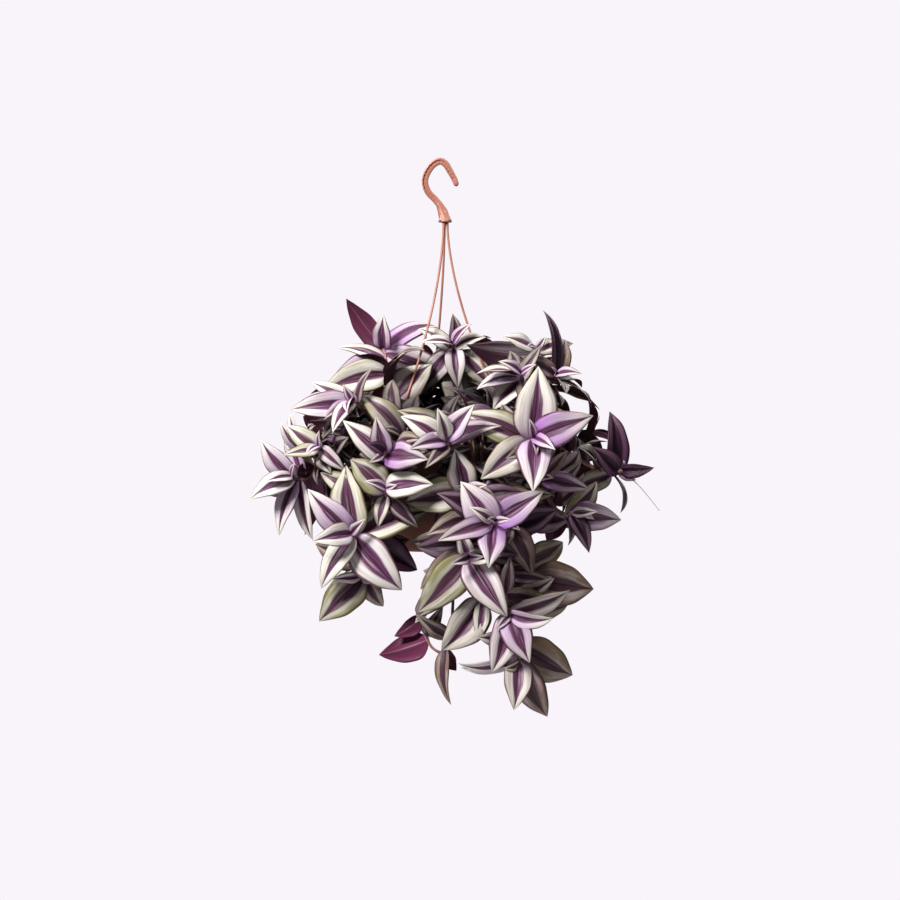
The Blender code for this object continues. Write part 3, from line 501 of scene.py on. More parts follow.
def crown_tips():
    """Tips spread by the golden angle over the foliage's ball, behind the named front shoots."""
    taken = [Vector(shoot[0]) * MM for shoot in FRONT_SHOOTS]
    tips = []
    for i in range(CROWN_SITES):
        height = 1 - 2 * (i + 0.5) / CROWN_SITES
        ring = math.sqrt(1 - height * height)
        way = Vector((ring * math.cos(i * GOLDEN), ring * math.sin(i * GOLDEN), height))
        tip = CROWN_CENTRE + way * CROWN_SEMI
        if height < CROWN_LOWEST or tip.y < CROWN_FRONT:
            continue
        if min((tip - other).length for other in taken) < CROWN_SPACING:
            continue
        facing = Vector([part / semi for part, semi in zip(way, CROWN_SEMI)]).normalized()
        tips.append((tip, lifted(facing, CROWN_LIFT)))
    return tips


def front_leaves(thicket, shoot, table, looks, draw):
    """The leaves given in the table, seen on a clock face from the front."""
    directions = (Vector((1, 0, 0)), Vector((0, 0, 1)), Vector((0, -1, 0)))
    young = sum(row[0] is None for row in table)
    for (back, clock, length, width, lean, roll), look in zip(table, looks):
        if back is None:
            young -= 1
            back = ROSETTE_FIRST + ROSETTE_STEP * young
        place_leaf(thicket, shoot, draw, look, back * MM, directions, (clock, length, width, lean),
                   shoot.facing, roll, 150, 0.3)


def about_facing(facing):
    """Right, upward and out for a rosette that looks along its facing."""
    right = Vector((0, 0, 1)).cross(facing)
    right = right.normalized() if right.length > 0.05 else Vector((1, 0, 0))
    return right, facing.cross(right), facing


def crown_leaves(thicket, shoot, draw):
    """A rosette about the facing, its older leaves wide and low, its young ones upright."""
    directions = about_facing(shoot.facing)
    pick = random.Random(700 + shoot.number)
    phase = draw.uniform(0, 360)
    size = draw.uniform(0.88, 1.08)
    for i, (length, width, lean) in enumerate(CROWN_LEAVES):
        back = (ROSETTE_FIRST + ROSETTE_STEP * (len(CROWN_LEAVES) - 1 - i)) * MM
        shape = (phase + CROWN_TURN * i + draw.uniform(-14, 14), length * size, width * size,
                 lean + draw.uniform(-8, 8))
        place_leaf(thicket, shoot, draw, pick.choice(CROWN_LOOKS[i]), back, directions, shape,
                   shoot.facing, 0, 60, 0.8)


def about_stem(stem, back):
    """Outward from the foliage's middle, and across, along and square to the stem, at a place."""
    base = behind_tip(stem, back)
    ahead = (behind_tip(stem, back - 4 * MM) - base).normalized()
    outward = Vector((base.x - AXIS_X, base.y, base.z - CROWN_CENTRE.z)).normalized()
    across = ahead.cross(outward).normalized()
    return outward, across, ahead, across.cross(ahead)


def stem_leaves(thicket, shoot, draw):
    """Leaves that alternate down the stem below its rosette, and fill the inside."""
    length = length_of(shoot.stem)
    pick = random.Random(800 + shoot.number)
    back = INNER_FIRST
    side = draw.choice((-1, 1))
    for _ in range(INNER_LEAVES):
        if back > length - INNER_END:
            break
        outward, across, ahead, normal = about_stem(shoot.stem, back)
        directions = (across * side, ahead, normal)
        shape = (draw.uniform(-25, 25), draw.uniform(40, 56), draw.uniform(19, 27),
                 draw.uniform(5, 35))
        place_leaf(thicket, shoot, draw, pick.choice(INNER_LOOKS), back, directions, shape,
                   lifted(outward, INNER_LIFT), draw.uniform(-20, 20), 40, 1.2)
        side = -side
        back += INNER_SPACING * draw.uniform(0.85, 1.15)


def lay_out_shoots(obstacles):
    """All stems first, then the named rosettes, the crown's rosettes and the leaves inside."""
    thicket = Thicket()
    for solid in obstacles:
        thicket.add(solid, "holder", "solid")
    plans = [(Vector(tip) * MM, Vector(facing).normalized(), [Vector(point) * MM for point in via])
             for tip, facing, via, _ in FRONT_SHOOTS]
    plans += [(tip, facing, []) for tip, facing in crown_tips()]
    draws = [random.Random(100 + index) for index in range(len(plans))]
    shoots = []
    for index in STEM_ORDER + tuple(i for i in range(len(plans)) if i not in STEM_ORDER):
        name = "shoot_%02d" % (index + 1)
        stem = place_stem(thicket, name, *plans[index], draws[index])
        if stem:
            shoots.append(Shoot(index + 1, name, stem, plans[index][1], [], []))
    shoots.sort(key=lambda shoot: shoot.number)
    front = [shoot for shoot in shoots if shoot.number <= len(FRONT_SHOOTS)]
    for shoot in sorted(front, key=lambda shoot: shoot.stem[-1].y):
        index = shoot.number - 1
        front_leaves(thicket, shoot, FRONT_SHOOTS[index][3], FRONT_LOOKS[index], draws[index])
    for shoot in shoots[len(front):]:
        crown_leaves(thicket, shoot, draws[shoot.number - 1])
    for shoot in shoots:
        if shoot.name not in BARE_SHOOTS:
            stem_leaves(thicket, shoot, draws[shoot.number - 1])
    return thicket, shoots


# ------------------------------------------------------------------ the holder's outlines

def pot_profile():
    """The pot's wall in half section, up its inside, over the lip and down its outside."""
    base = RIM_TOP - POT_HEIGHT
    taper = (RIM_RADIUS - LIP_THICKNESS + WALL - BASE_RADIUS) / (POT_HEIGHT - LIP_HEIGHT)
    shoulder = RIM_TOP - LIP_HEIGHT
    inner_base = BASE_RADIUS - WALL + taper * (FOOT_HEIGHT + FLOOR)
    return [
        (DRAIN_RADIUS, base + FOOT_HEIGHT + FLOOR),
        (inner_base, base + FOOT_HEIGHT + FLOOR),
        (RIM_RADIUS - LIP_THICKNESS, shoulder),
        (RIM_RADIUS - LIP_THICKNESS, RIM_TOP - 0.8 * MM),
        (RIM_RADIUS - LIP_THICKNESS + 0.8 * MM, RIM_TOP),
        (RIM_RADIUS - 0.8 * MM, RIM_TOP),
        (RIM_RADIUS, RIM_TOP - 0.8 * MM),
        (RIM_RADIUS, shoulder),
        (RIM_RADIUS - LIP_THICKNESS + WALL, shoulder - 0.6 * MM),
        (BASE_RADIUS, base + 0.6 * MM),
        (BASE_RADIUS - 0.6 * MM, base),
        (BASE_RADIUS - 4.0 * MM, base),
        (BASE_RADIUS - 5.0 * MM, base + FOOT_HEIGHT),
        (DRAIN_RADIUS, base + FOOT_HEIGHT),
    ]


def soil_radius(z):
    """The soil's radius at a height: the pot's inner wall less the gap."""
    profile = pot_profile()
    (low_r, low_z), (high_r, high_z) = profile[1], profile[2]
    share = (z - low_z) / (high_z - low_z)
    return low_r + (high_r - low_r) * share - GAP


def strand_route(turn, count=15):
    """A strand from under the skirt to its clip, bowing outwards as a power of its drop."""
    start = SKIRT_BOTTOM - GAP
    end = RIM_TOP + CLIP_RISE - 1.0 * MM
    reach = RIM_RADIUS - LIP_THICKNESS / 2
    around = Vector((math.cos(turn), math.sin(turn), 0.0))
    points = []
    for share in np.linspace(0.0, 1.0, count):
        radius = STRAND_TOP_REACH + (reach - STRAND_TOP_REACH) * share ** STRAND_BOW
        points.append(Vector((AXIS_X, 0.0, start + (end - start) * share)) + around * radius)
    return points


def holder_obstacles():
    """The pot closed by its soil, and the strands with their clips, as test solids."""
    outline = [(RIM_RADIUS - LIP_THICKNESS, SOIL_TOP - CLEARANCE)] + pot_profile()[3:10]
    turns = [k * math.tau / 36 for k in range(36)]
    solids = [loft([[around_axis(turn, radius, z) for turn in turns] for radius, z in outline])]
    for turn in STRAND_TURNS:
        route = strand_route(math.radians(turn))
        solids.append(tube(route, STRAND_RADIUS))
        foot = route[-1]
        solids.append(tube([foot + Vector((0, 0, 2 * MM)), foot - Vector((0, 0, 10 * MM))],
                           CLIP_WIDTH * 0.75))
    return solids


# ------------------------------------------------------------------ small leaves that fill in

SMALL_CLEARANCE = 0.4 * MM
YOUNG_BACK = 0.8 * MM               # a young leaf's base, behind the stem's tip
FILLERS_FROM = 12 * MM              # small leaves keep this far from the stem's tip
FILLERS_OFF = 30 * MM               # and leave this much of the stem free in all
FILLER_LIFT = 0.8
GAP_LIFT = 0.4
SMALL_TRIES = 40
SMALL_SWAY = 2.0                    # degrees more of freedom at each try
YOUNG_SWAY = 1.2
GAPS = (                            # thin places in mm, closed by leaves of the nearest stem
    (-20, -66, -256), (-34, -60, -262), (-6, -66, -250), (-12, -62, -232), (106, -20, -184),
    (98, -10, -212), (106, -20, -228), (0, -44, -166), (-100, -40, -230), (-96, -20, -180),
    (60, -70, -250), (-60, -66, -170), (6, -70, -322), (36, -66, -350), (24, -60, -334),
)
GAP_TURNS = range(0, 360, 60)       # about the stem, at which a leaf is tried for each thin place


def nearest_stem(shoots, spot):
    """The shoot whose stem passes nearest to a spot, and how far back from its tip it does so."""
    nearest = (math.inf, None, 0.0)
    for shoot in shoots:
        back = 0.0
        for a, b in zip(shoot.stem[::-1], shoot.stem[-2:0:-1]):
            back += (b - a).length
            if back > FILLERS_FROM and (b - spot).length < nearest[0]:
                nearest = ((b - spot).length, shoot, back)
    return nearest[1:]


def small_leaf(thicket, shoot, draw, back, shape, lift):
    """A leaf of the inside on a stem, its upper side turned outwards and up by the lift."""
    outward, *directions = about_stem(shoot.stem, back)
    place_leaf(thicket, shoot, draw, "I", back, directions, shape, lifted(outward, lift), 0,
               SMALL_TRIES, SMALL_SWAY, SMALL_CLEARANCE)


def add_small_leaves(thicket, shoots, sizes):
    """Young leaves about each tip, small leaves along each stem, and more at the thin places."""
    for shoot in shoots:
        draw = random.Random(500 + shoot.number)
        turn = draw.uniform(0, 360)
        for k in range(sizes.young_leaves):
            length = draw.uniform(17, 27) - 4 * k
            shape = (turn + 180 * k + draw.uniform(-20, 20), length, length * 0.42, 48 + 8 * k)
            place_leaf(thicket, shoot, draw, "Y", YOUNG_BACK, about_facing(shoot.facing), shape,
                       shoot.facing, 0, SMALL_TRIES, YOUNG_SWAY, SMALL_CLEARANCE)
    for shoot in shoots:
        draw = random.Random(600 + shoot.number)
        room = length_of(shoot.stem) - FILLERS_OFF
        for k in range(sizes.filler_leaves):
            back = FILLERS_FROM + room * (k + draw.random()) / sizes.filler_leaves
            shape = (draw.uniform(0, 360), draw.uniform(26, 46), draw.uniform(13, 21),
                     draw.uniform(-20, 45))
            small_leaf(thicket, shoot, draw, back, shape, FILLER_LIFT)
    for k, gap in enumerate(GAPS):
        draw = random.Random(700 + k)
        shoot, back = nearest_stem(shoots, Vector(gap) * MM)
        for turn in GAP_TURNS:
            shape = (turn, draw.uniform(34, 50), draw.uniform(16, 23), draw.uniform(-10, 35))
            small_leaf(thicket, shoot, draw, back, shape, GAP_LIFT)


# ------------------------------------------------------------------ surfaces on grids

Surface = namedtuple("Surface", "points quads tris corners")
SHARP = 40                          # degrees between two faces, beyond which their edge is sharp


def skin(rings, start, end):
    """Closed rings joined in order, and closed by a fan of triangles about a pole at each end.

    rings is an array (rows, around, 3). For each corner of each face the surface keeps its row
    and its place around the ring, so that a map can run on past the seam.
    """
    rows, around = rings.shape[:2]
    row, place = (grid.ravel() for grid in np.meshgrid(np.arange(rows - 1), np.arange(around),
                                                       indexing="ij"))
    after = (place + 1) % around
    quads = np.stack((row * around + place, row * around + after,
                      (row + 1) * around + after, (row + 1) * around + place), axis=1)
    k = np.arange(around)
    after = (k + 1) % around
    first_row, last_row = 0 * k, 0 * k + rows - 1
    last = (rows - 1) * around
    first_pole = 0 * k + rows * around
    tris = np.concatenate((np.stack((after, k, first_pole), axis=1),
                           np.stack((last + k, last + after, first_pole + 1), axis=1)))
    corners = np.concatenate([np.stack(columns, axis=1).reshape(-1, 2) for columns in (
        (row, place, row, place + 1, row + 1, place + 1, row + 1, place),
        (first_row, k + 1, first_row, k, first_row - 1, k),
        (last_row, k, last_row, k + 1, last_row + 1, k))])
    return Surface(np.vstack((rings.reshape(-1, 3), start, end)), quads, tris, corners)


def unit(vectors):
    """Each vector divided by its own length."""
    return vectors / np.maximum(np.linalg.norm(vectors, axis=-1, keepdims=True), 1e-12)


def travel(path):
    """The distance from a path's first point to each of its points."""
    return np.concatenate(([0.0], np.cumsum(np.linalg.norm(np.diff(path, axis=0), axis=1))))


POLE_RISE = 0.3                     # of its radius, from a rod's last ring to the pole beyond it


def rod(path, radius, sides):
    """A round rod: each ring is the path's point plus radius times cosine and sine of the turn.

    The side that the turn starts from is carried along the path without turning about it. Both
    ends are rounded off by a pole a little beyond the last ring.
    """
    ahead = unit(np.gradient(path, axis=0))
    side = np.empty_like(path)
    last = np.cross(ahead[0], (0.31, 0.93, 0.2))
    for i, direction in enumerate(ahead):
        last = unit(last - direction * last.dot(direction))
        side[i] = last
    other = np.cross(ahead, side)
    turn = np.linspace(0, math.tau, sides, endpoint=False)
    radius = np.broadcast_to(radius, len(path))
    rings = path[:, None, :] + radius[:, None, None] * (
        side[:, None, :] * np.cos(turn)[None, :, None]
        + other[:, None, :] * np.sin(turn)[None, :, None])
    return skin(rings, path[0] - ahead[0] * radius[0] * POLE_RISE,
                path[-1] + ahead[-1] * radius[-1] * POLE_RISE)


def turned(profile, steps):
    """A closed profile of radius and height pairs, carried round the pot's axis."""
    turn = np.linspace(0, math.tau, steps, endpoint=False)
    radius, height = profile[:, 0], profile[:, 1]
    size = len(profile)
    rings = np.stack((AXIS_X + np.cos(turn)[:, None] * radius, np.sin(turn)[:, None] * radius,
                      np.broadcast_to(height, (steps, size))), axis=2)
    row, k = (grid.ravel() for grid in np.meshgrid(np.arange(steps), np.arange(size),
                                                   indexing="ij"))
    next_row, after = (row + 1) % steps, (k + 1) % size
    quads = np.stack((row * size + k, next_row * size + k,
                      next_row * size + after, row * size + after), axis=1)
    return Surface(rings.reshape(-1, 3), quads, np.empty((0, 3), dtype=int), None)


def mesh_of(name, surface):
    """A mesh filled from a surface's arrays."""
    mesh = bpy.data.meshes.new(name)
    mesh.vertices.add(len(surface.points))
    mesh.vertices.foreach_set("co", surface.points.astype(np.float32).ravel())
    corners = np.concatenate((surface.quads.ravel(), surface.tris.ravel()))
    mesh.loops.add(len(corners))
    mesh.loops.foreach_set("vertex_index", corners.astype(np.int32))
    starts = np.concatenate((np.arange(len(surface.quads)) * 4,
                             len(surface.quads) * 4 + np.arange(len(surface.tris)) * 3))
    mesh.polygons.add(len(starts))
    mesh.polygons.foreach_set("loop_start", starts.astype(np.int32))
    mesh.update(calc_edges=True)
    return mesh


def face_outwards(mesh):
    """Turns a closed mesh's faces round where its signed volume comes out negative."""
    mesh.calc_loop_triangles()
    points = np.empty(len(mesh.vertices) * 3, dtype=np.float32)
    mesh.vertices.foreach_get("co", points)
    corners = np.empty(len(mesh.loop_triangles) * 3, dtype=np.int32)
    mesh.loop_triangles.foreach_get("vertices", corners)
    a, b, c = points.reshape(-1, 3).astype(float)[corners.reshape(-1, 3)].transpose(1, 0, 2)
    if np.einsum("ij,ij->", a, np.cross(b, c)) < 0:
        mesh.flip_normals()


def link(name, mesh):
    """An object made of a mesh, in the scene."""
    piece = bpy.data.objects.new(name, mesh)
    bpy.context.scene.collection.objects.link(piece)
    return piece


def plain_piece(name, surface, finish, sharp=SHARP):
    """An object of one finish, its faces outwards and its edges sharp beyond an angle."""
    mesh = mesh_of(name, surface)
    face_outwards(mesh)
    mesh.materials.append(finish)
    mesh.shade_smooth()
    mesh.set_sharp_from_angle(angle=math.radians(sharp))
    return link(name, mesh)


def place_piece(piece, slot, *nodes):
    """Gives a finished piece its body, and hides the frame solids that it stands for. The slot is
    not used.
    """
    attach(piece, "root")
    if nodes:
        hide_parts(*nodes)


# ------------------------------------------------------------------ leaves and stems as surfaces

LOOKS = {                           # olive, violet and dark shares of a leaf's colours
    "W": (0.04, 0.14, 0.00), "S": (0.16, 0.22, 0.08), "G": (0.38, 0.08, 0.08),
    "O": (0.66, 0.06, 0.26), "K": (0.88, 0.10, 0.42), "L": (0.05, 0.62, 0.05),
    "V": (0.04, 1.00, 0.14), "P": (0.16, 0.72, 0.36), "D": (0.32, 0.60, 0.92),
    "Y": (0.10, 0.60, 0.12), "I": (0.60, 0.26, 0.56),
}
LOOK_SPREAD = (0.13, 0.14, 0.08)    # how far each share strays from leaf to leaf
SMALL_LOOKS = "YI"                  # these leaves need a coarser grid
BLADE_RISE = 0.64                   # a blade's outline, rounder at its base than the solids'
BLADE_FALL = 1.10
TIP_BEND = (0.05, 0.50)             # extra bend at a blade's tip, in radians
GULL = (0.30, 0.70)                 # how far each half bends back down, over its width
LOP = (-0.10, 0.10)                 # one half higher than the other, over its width
WAVE = (0.04, 0.13)                 # height of the margin's wave, over the half width
WAVE_PACE = (6, 12)                 # radians of that wave from base to tip
SPINE_STEPS = 128                   # small steps that the midrib is added up from


def leaf_surface(leaf, draw, thickness, rows, halves):
    """A leaf as a closed skin.

    Its midrib is the plan's arc with a little more bend at the tip, added up from small steps.
    Across, t runs from -1 to 1, and each half rises from the midrib and bends back down: the
    height is (fold + gull)|t| - gull t^2 + lop t times the half width, with a slow wave along
    the margins. The blade is thickest at the midrib and runs out to nothing at the margins.
    """
    base, along, up = (np.array(v) for v in (leaf.base, leaf.along, leaf.up))
    half = leaf.arch / 2
    fine = np.linspace(0, 1, SPINE_STEPS + 1)
    heading = half - leaf.arch * fine - draw.uniform(*TIP_BEND) * fine ** 4
    arc = leaf.length / (2 * math.sin(half)) * leaf.arch
    step = along * np.cos(heading)[:, None] + up * np.sin(heading)[:, None]
    spine = np.vstack((np.zeros(3), np.cumsum((step[1:] + step[:-1]) / 2, axis=0)))
    spine = spine / SPINE_STEPS * arc
    even = np.linspace(0, 1, rows + 2)
    share = (0.4 * even + 0.6 * (0.5 - 0.5 * np.cos(math.pi * even)))[1:-1]
    point = base + np.stack([np.interp(share, fine, spine[:, i]) for i in range(3)], axis=1)
    angle = np.interp(share, fine, heading)
    ahead = along * np.cos(angle)[:, None] + up * np.sin(angle)[:, None]
    flat_normal = up * np.cos(angle)[:, None] - along * np.sin(angle)[:, None]
    flat_side = np.cross(ahead, flat_normal)
    turn = (leaf.twist * share)[:, None]
    side = flat_side * np.cos(turn) - flat_normal * np.sin(turn)
    normal = flat_normal * np.cos(turn) + flat_side * np.sin(turn)
    peak = BLADE_RISE / (BLADE_RISE + BLADE_FALL)
    full = peak ** BLADE_RISE * (1 - peak) ** BLADE_FALL
    phase = draw.uniform(0, math.tau)
    reach = leaf.width / 2 * share ** BLADE_RISE * (1 - share) ** BLADE_FALL / full
    reach = reach * (1 + 0.025 * np.sin(share * 17 + phase))
    t = np.linspace(-1, 1, 2 * halves + 1)
    gull = draw.uniform(*GULL)
    lop = draw.uniform(*LOP)
    wave = draw.uniform(*WAVE) * np.sin(share * draw.uniform(*WAVE_PACE) + phase)
    rise = (leaf.fold + gull) * np.abs(t) - gull * t * t + lop * t + wave[:, None] * t * np.abs(t)
    middle = (point[:, None, :] + side[:, None, :] * (reach[:, None] * t)[:, :, None]
              + normal[:, None, :] * (reach[:, None] * rise)[:, :, None])
    body = np.minimum(1.0, np.minimum(share, 1 - share) * 9) ** 0.7
    thick = thickness / 2 * (1 - 0.62 * np.abs(t) ** 1.3) * (np.abs(t) < 0.999)
    shift = normal[:, None, :] * (body[:, None] * thick)[:, :, None]
    rings = np.concatenate((middle + shift, (middle - shift)[:, -2:0:-1]), axis=1)
    surface = skin(rings, base, base + spine[-1])
    across = 2 * halves
    row, place = surface.corners.T
    x = np.where(place <= across, place, 2 * across - place) / across
    y = np.concatenate(([0.0], share, [1.0]))[row + 1]
    on_top = np.arange(2 * across) < across
    upper = np.concatenate((np.tile(on_top, rows - 1), on_top, on_top))
    return surface, np.stack((x, y), axis=1), upper


STEM_SIDES = 10
NODE_RISE = 0.40 * MM               # swelling of a stem at a leaf's node
NODE_REACH = 1.6 * MM
SHEATH_RISE = 0.20 * MM             # the sheath above a node, which eases back over its reach
SHEATH_REACH = 8 * MM
THREAD_SHOOT = "shoot_16"           # a withered flower stalk hangs from this one
THREAD = ((157, -30, -267), (160, -31, -272), (168, -32, -277), (178, -33, -288), (189, -34, -302))
THREAD_SIDES = 6
THREAD_RADII = (0.55, 0.25)         # mm, from the stem to its end


def stem_surface(shoot):
    """A stem: a rod that thins towards its tip and swells at each leaf's node.

    Above each node a sheath wraps the stem: the radius jumps up and eases back over its length.
    """
    path = np.array([tuple(point) for point in smooth(shoot.stem, 5)])
    travelled = travel(path)
    radius = STEM_RADIUS * (1.12 - 0.42 * travelled / travelled[-1])
    for leaf in shoot.leaves:
        node = travelled[np.argmin(np.linalg.norm(path - np.array(leaf.base), axis=1))]
        ahead = travelled - node
        radius = radius + NODE_RISE * np.exp(-(ahead / NODE_REACH) ** 2)
        radius = radius + SHEATH_RISE * np.clip(1 - ahead / SHEATH_REACH, 0, 1) * (ahead > 0)
    radius = np.minimum(radius, STEM_RADIUS * 1.5)
    surface = rod(path, radius, STEM_SIDES)
    row, place = surface.corners.T
    y = np.concatenate(([0.0], travelled, travelled[-1:]))[row + 1]
    return surface, np.stack((place / STEM_SIDES, y / travelled[-1]), axis=1), travelled[-1]


def thread_surface():
    """The withered stalk: a thin rod along its own curve, mapped like a stem."""
    route = [Vector(point) * MM for point in THREAD]
    path = np.array([tuple(point) for point in smooth(route, 6)])
    surface = rod(path, np.linspace(*THREAD_RADII, len(path)) * MM, THREAD_SIDES)
    row, place = surface.corners.T
    return surface, np.stack((place / THREAD_SIDES, (row + 1) / len(path)), axis=1)


Part = namedtuple("Part", "surface slots uv sheet look")

TOPS_SHARE = 0.80                   # of the sheet's height, for the leaves' upper sides
BACKS_SHARE = 0.13
CELL_MARGIN = 0.03
STREAK_LENGTH = 60 * MM             # of stem, to one unit of its map
STEM_LOOK = [0.3, 0.3, 0.2]
THREAD_LOOK = [0.9, 0.1, 0.0]


def in_cell(uv, low_x, low_y, wide, high):
    """Map coordinates moved into one cell of the shoot's own sheet."""
    inner = CELL_MARGIN + (1 - 2 * CELL_MARGIN) * uv
    return np.array((low_x, low_y)) + inner * np.array((wide, high))


def leaf_part(leaf, look, draw, thickness, k, count):
    """Leaf k of a shoot's count, with its cells of the sheet and its own shade of its look."""
    columns = math.ceil(math.sqrt(1.1 * count))
    cell_rows = math.ceil(count / columns)
    rows, halves = (16, 4) if look in SMALL_LOOKS else (24, 6)
    surface, uv, upper = leaf_surface(leaf, draw, thickness, rows, halves)
    top = in_cell(uv, (k % columns) / columns, TOPS_SHARE * (k // columns) / cell_rows,
                  1 / columns, TOPS_SHARE / cell_rows)
    back = in_cell(uv, k / count, TOPS_SHARE, 1 / count, BACKS_SHARE)
    corners = np.concatenate((np.full(len(surface.quads), 4), np.full(len(surface.tris), 3)))
    on_top = np.repeat(upper, corners)[:, None]
    shares = [share + draw.uniform(-spread, spread)
              for share, spread in zip(LOOKS[look], LOOK_SPREAD)]
    return Part(surface, np.where(upper, 0, 1), uv, np.where(on_top, top, back),
                shares + [draw.random()])


def rod_part(surface, uv, sheet, look, draw):
    """A stem or a stalk, in the stems' finish."""
    slots = np.full(len(surface.quads) + len(surface.tris), 2)
    return Part(surface, slots, uv, sheet, look + [draw.random()])


def grow_shoot(shoot, materials, sizes):
    """One shoot as one mesh: its leaves, then its stem, with two maps and each leaf's look."""
    draw = random.Random(900 + shoot.number)
    parts = [leaf_part(leaf, look, draw, sizes.leaf_thickness, k, len(shoot.leaves))
             for k, (leaf, look) in enumerate(zip(shoot.leaves, shoot.looks))]
    surface, uv, length = stem_surface(shoot)
    threaded = shoot.name == THREAD_SHOOT
    high = (1 - TOPS_SHARE - BACKS_SHARE) / (2 if threaded else 1)
    strip = in_cell(uv[:, ::-1], 0.0, TOPS_SHARE + BACKS_SHARE, 1.0, high)
    stretched = uv * np.array((1.0, length / STREAK_LENGTH))
    parts.append(rod_part(surface, stretched, strip, STEM_LOOK, draw))
    if threaded:
        surface, uv = thread_surface()
        strip = in_cell(uv[:, ::-1], 0.0, 1 - high, 1.0, high)
        parts.append(rod_part(surface, uv, strip, THREAD_LOOK, draw))
    piece = link("foliage_of_" + shoot.name, patchwork(shoot.name, parts))
    for finish in materials:
        piece.data.materials.append(finish)
    return piece


def patchwork(name, parts):
    """Many surfaces gathered into one mesh: all their quads first, then all their triangles."""
    surfaces, slots, uvs, sheets, looks = zip(*parts)
    first = np.cumsum([0] + [len(surface.points) for surface in surfaces])
    gathered = Surface(
        np.vstack([surface.points for surface in surfaces]),
        np.vstack([surface.quads + start for surface, start in zip(surfaces, first)]),
        np.vstack([surface.tris + start for surface, start in zip(surfaces, first)]), None)
    mesh = mesh_of(name, gathered)

    def by_shape(arrays, weight):
        """Each surface's values for its quads first, then each one's for its triangles."""
        cuts = [len(surface.quads) * weight for surface in surfaces]
        return np.concatenate([array[:cut] for array, cut in zip(arrays, cuts)]
                              + [array[cut:] for array, cut in zip(arrays, cuts)])

    mesh.polygons.foreach_set("material_index", by_shape(slots, 1).astype(np.int32))
    for map_name, arrays in (("Leaf", uvs), ("OFBake", sheets)):
        layer = mesh.uv_layers.new(name=map_name)
        layer.uv.foreach_set("vector", by_shape(arrays, 4).astype(np.float32).ravel())
    colours = np.vstack([np.broadcast_to(np.clip(look, 0, 1), (len(surface.points), 4))
                         for surface, look in zip(surfaces, looks)])
    layer = mesh.attributes.new("look", "FLOAT_COLOR", "POINT")
    layer.data.foreach_set("color", colours.astype(np.float32).ravel())
    mesh.shade_smooth()
    return mesh


# ------------------------------------------------------------------ materials

class Finish:
    """A material's node graph, built one node at a time."""

    def __init__(self, name):
        self.material = bpy.data.materials.new(name)
        self.material.use_nodes = True
        self.tree = self.material.node_tree
        self.shader = self.tree.nodes["Principled BSDF"]

    def put(self, socket, value):
        """Links another node's socket to this one, or sets this one's own value."""
        if isinstance(value, bpy.types.NodeSocket):
            self.tree.links.new(value, socket)
        else:
            socket.default_value = value

    def node(self, kind, inputs=(), **settings):
        """A new node with its settings and what goes into its inputs."""
        made = self.tree.nodes.new(kind)
        for key, value in settings.items():
            setattr(made, key, value)
        for key, value in dict(inputs).items():
            self.put(made.inputs[key], value)
        return made

    def math(self, operation, a, b=0.0, clamp=False):
        return self.node("ShaderNodeMath", {0: a, 1: b}, operation=operation,
                         use_clamp=clamp).outputs[0]

    def plus(self, a, b, clamp=False):
        return self.math("ADD", a, b, clamp)

    def minus(self, a, b):
        return self.math("SUBTRACT", a, b)

    def times(self, a, b, clamp=False):
        return self.math("MULTIPLY", a, b, clamp)

    def band(self, value, low, high):
        """Rises smoothly from 0 to 1 as the value passes from low to high."""
        made = self.node("ShaderNodeMapRange", {"Value": value, "From Min": low, "From Max": high},
                         interpolation_type="SMOOTHSTEP")
        return made.outputs["Result"]

    def mix(self, share, a, b, blend="MIX"):
        """From colour a to colour b by the share. A plain colour is three numbers."""
        made = self.node("ShaderNodeMix", data_type="RGBA", blend_type=blend)
        self.put(made.inputs["Factor"], share)
        for index, colour in ((6, a), (7, b)):
            plain = not isinstance(colour, bpy.types.NodeSocket)
            self.put(made.inputs[index], rgba(colour) if plain else colour)
        return made.outputs[2]

    def shaded(self, share, colour, by):
        """The colour multiplied by another one, as far as the share says."""
        return self.mix(share, colour, self.mix(1.0, colour, by, "MULTIPLY"))

    def noise(self, vector, scale, detail=2.0, roughness=0.5):
        made = self.node("ShaderNodeTexNoise", {"Vector": vector, "Scale": scale,
                                                "Detail": detail, "Roughness": roughness})
        return made.outputs["Fac"]

    def vector(self, x, y, z):
        return self.node("ShaderNodeCombineXYZ", {"X": x, "Y": y, "Z": z}).outputs[0]

    def steps(self, vector, *operations):
        """A vector taken through one operation after another, each with its own vector."""
        for operation, by in operations:
            vector = self.node("ShaderNodeVectorMath", {0: vector, 1: by},
                               operation=operation).outputs[0]
        return vector

    def place(self):
        return self.node("ShaderNodeTexCoord").outputs["Object"]

    def cover(self, colour, wear, span, least):
        """The base colour, and a roughness that rises from the least one with the wear."""
        self.put(self.shader.inputs["Base Color"], colour)
        self.put(self.shader.inputs["Roughness"], self.plus(self.times(wear, span), least))

    def bump(self, height, strength, distance):
        made = self.node("ShaderNodeBump", {"Height": height, "Strength": strength,
                                            "Distance": distance})
        self.put(self.shader.inputs["Normal"], made.outputs[0])


def rgba(colour):
    return (*colour, 1.0)


# Painted shade: leaves and the pot are darkened towards the foliage's middle, where the plant's own
# leaves shade them
PAINTED_SHADE_DEPTHS = (0.62, 0.97)         # of the foliage's ball, between its dark middle and its outside


def leaf_parts(finish):
    """The position on the leaf, the shares of its own look, and its own number."""
    uv = finish.node("ShaderNodeUVMap", uv_map="Leaf").outputs[0]
    x, y = finish.node("ShaderNodeSeparateXYZ", {0: uv}).outputs[:2]
    look = finish.node("ShaderNodeAttribute", attribute_name="look")
    shares = finish.node("ShaderNodeSeparateColor", {0: look.outputs["Color"]}).outputs
    return x, y, shares[:3], finish.times(look.outputs["Alpha"], 57.0)


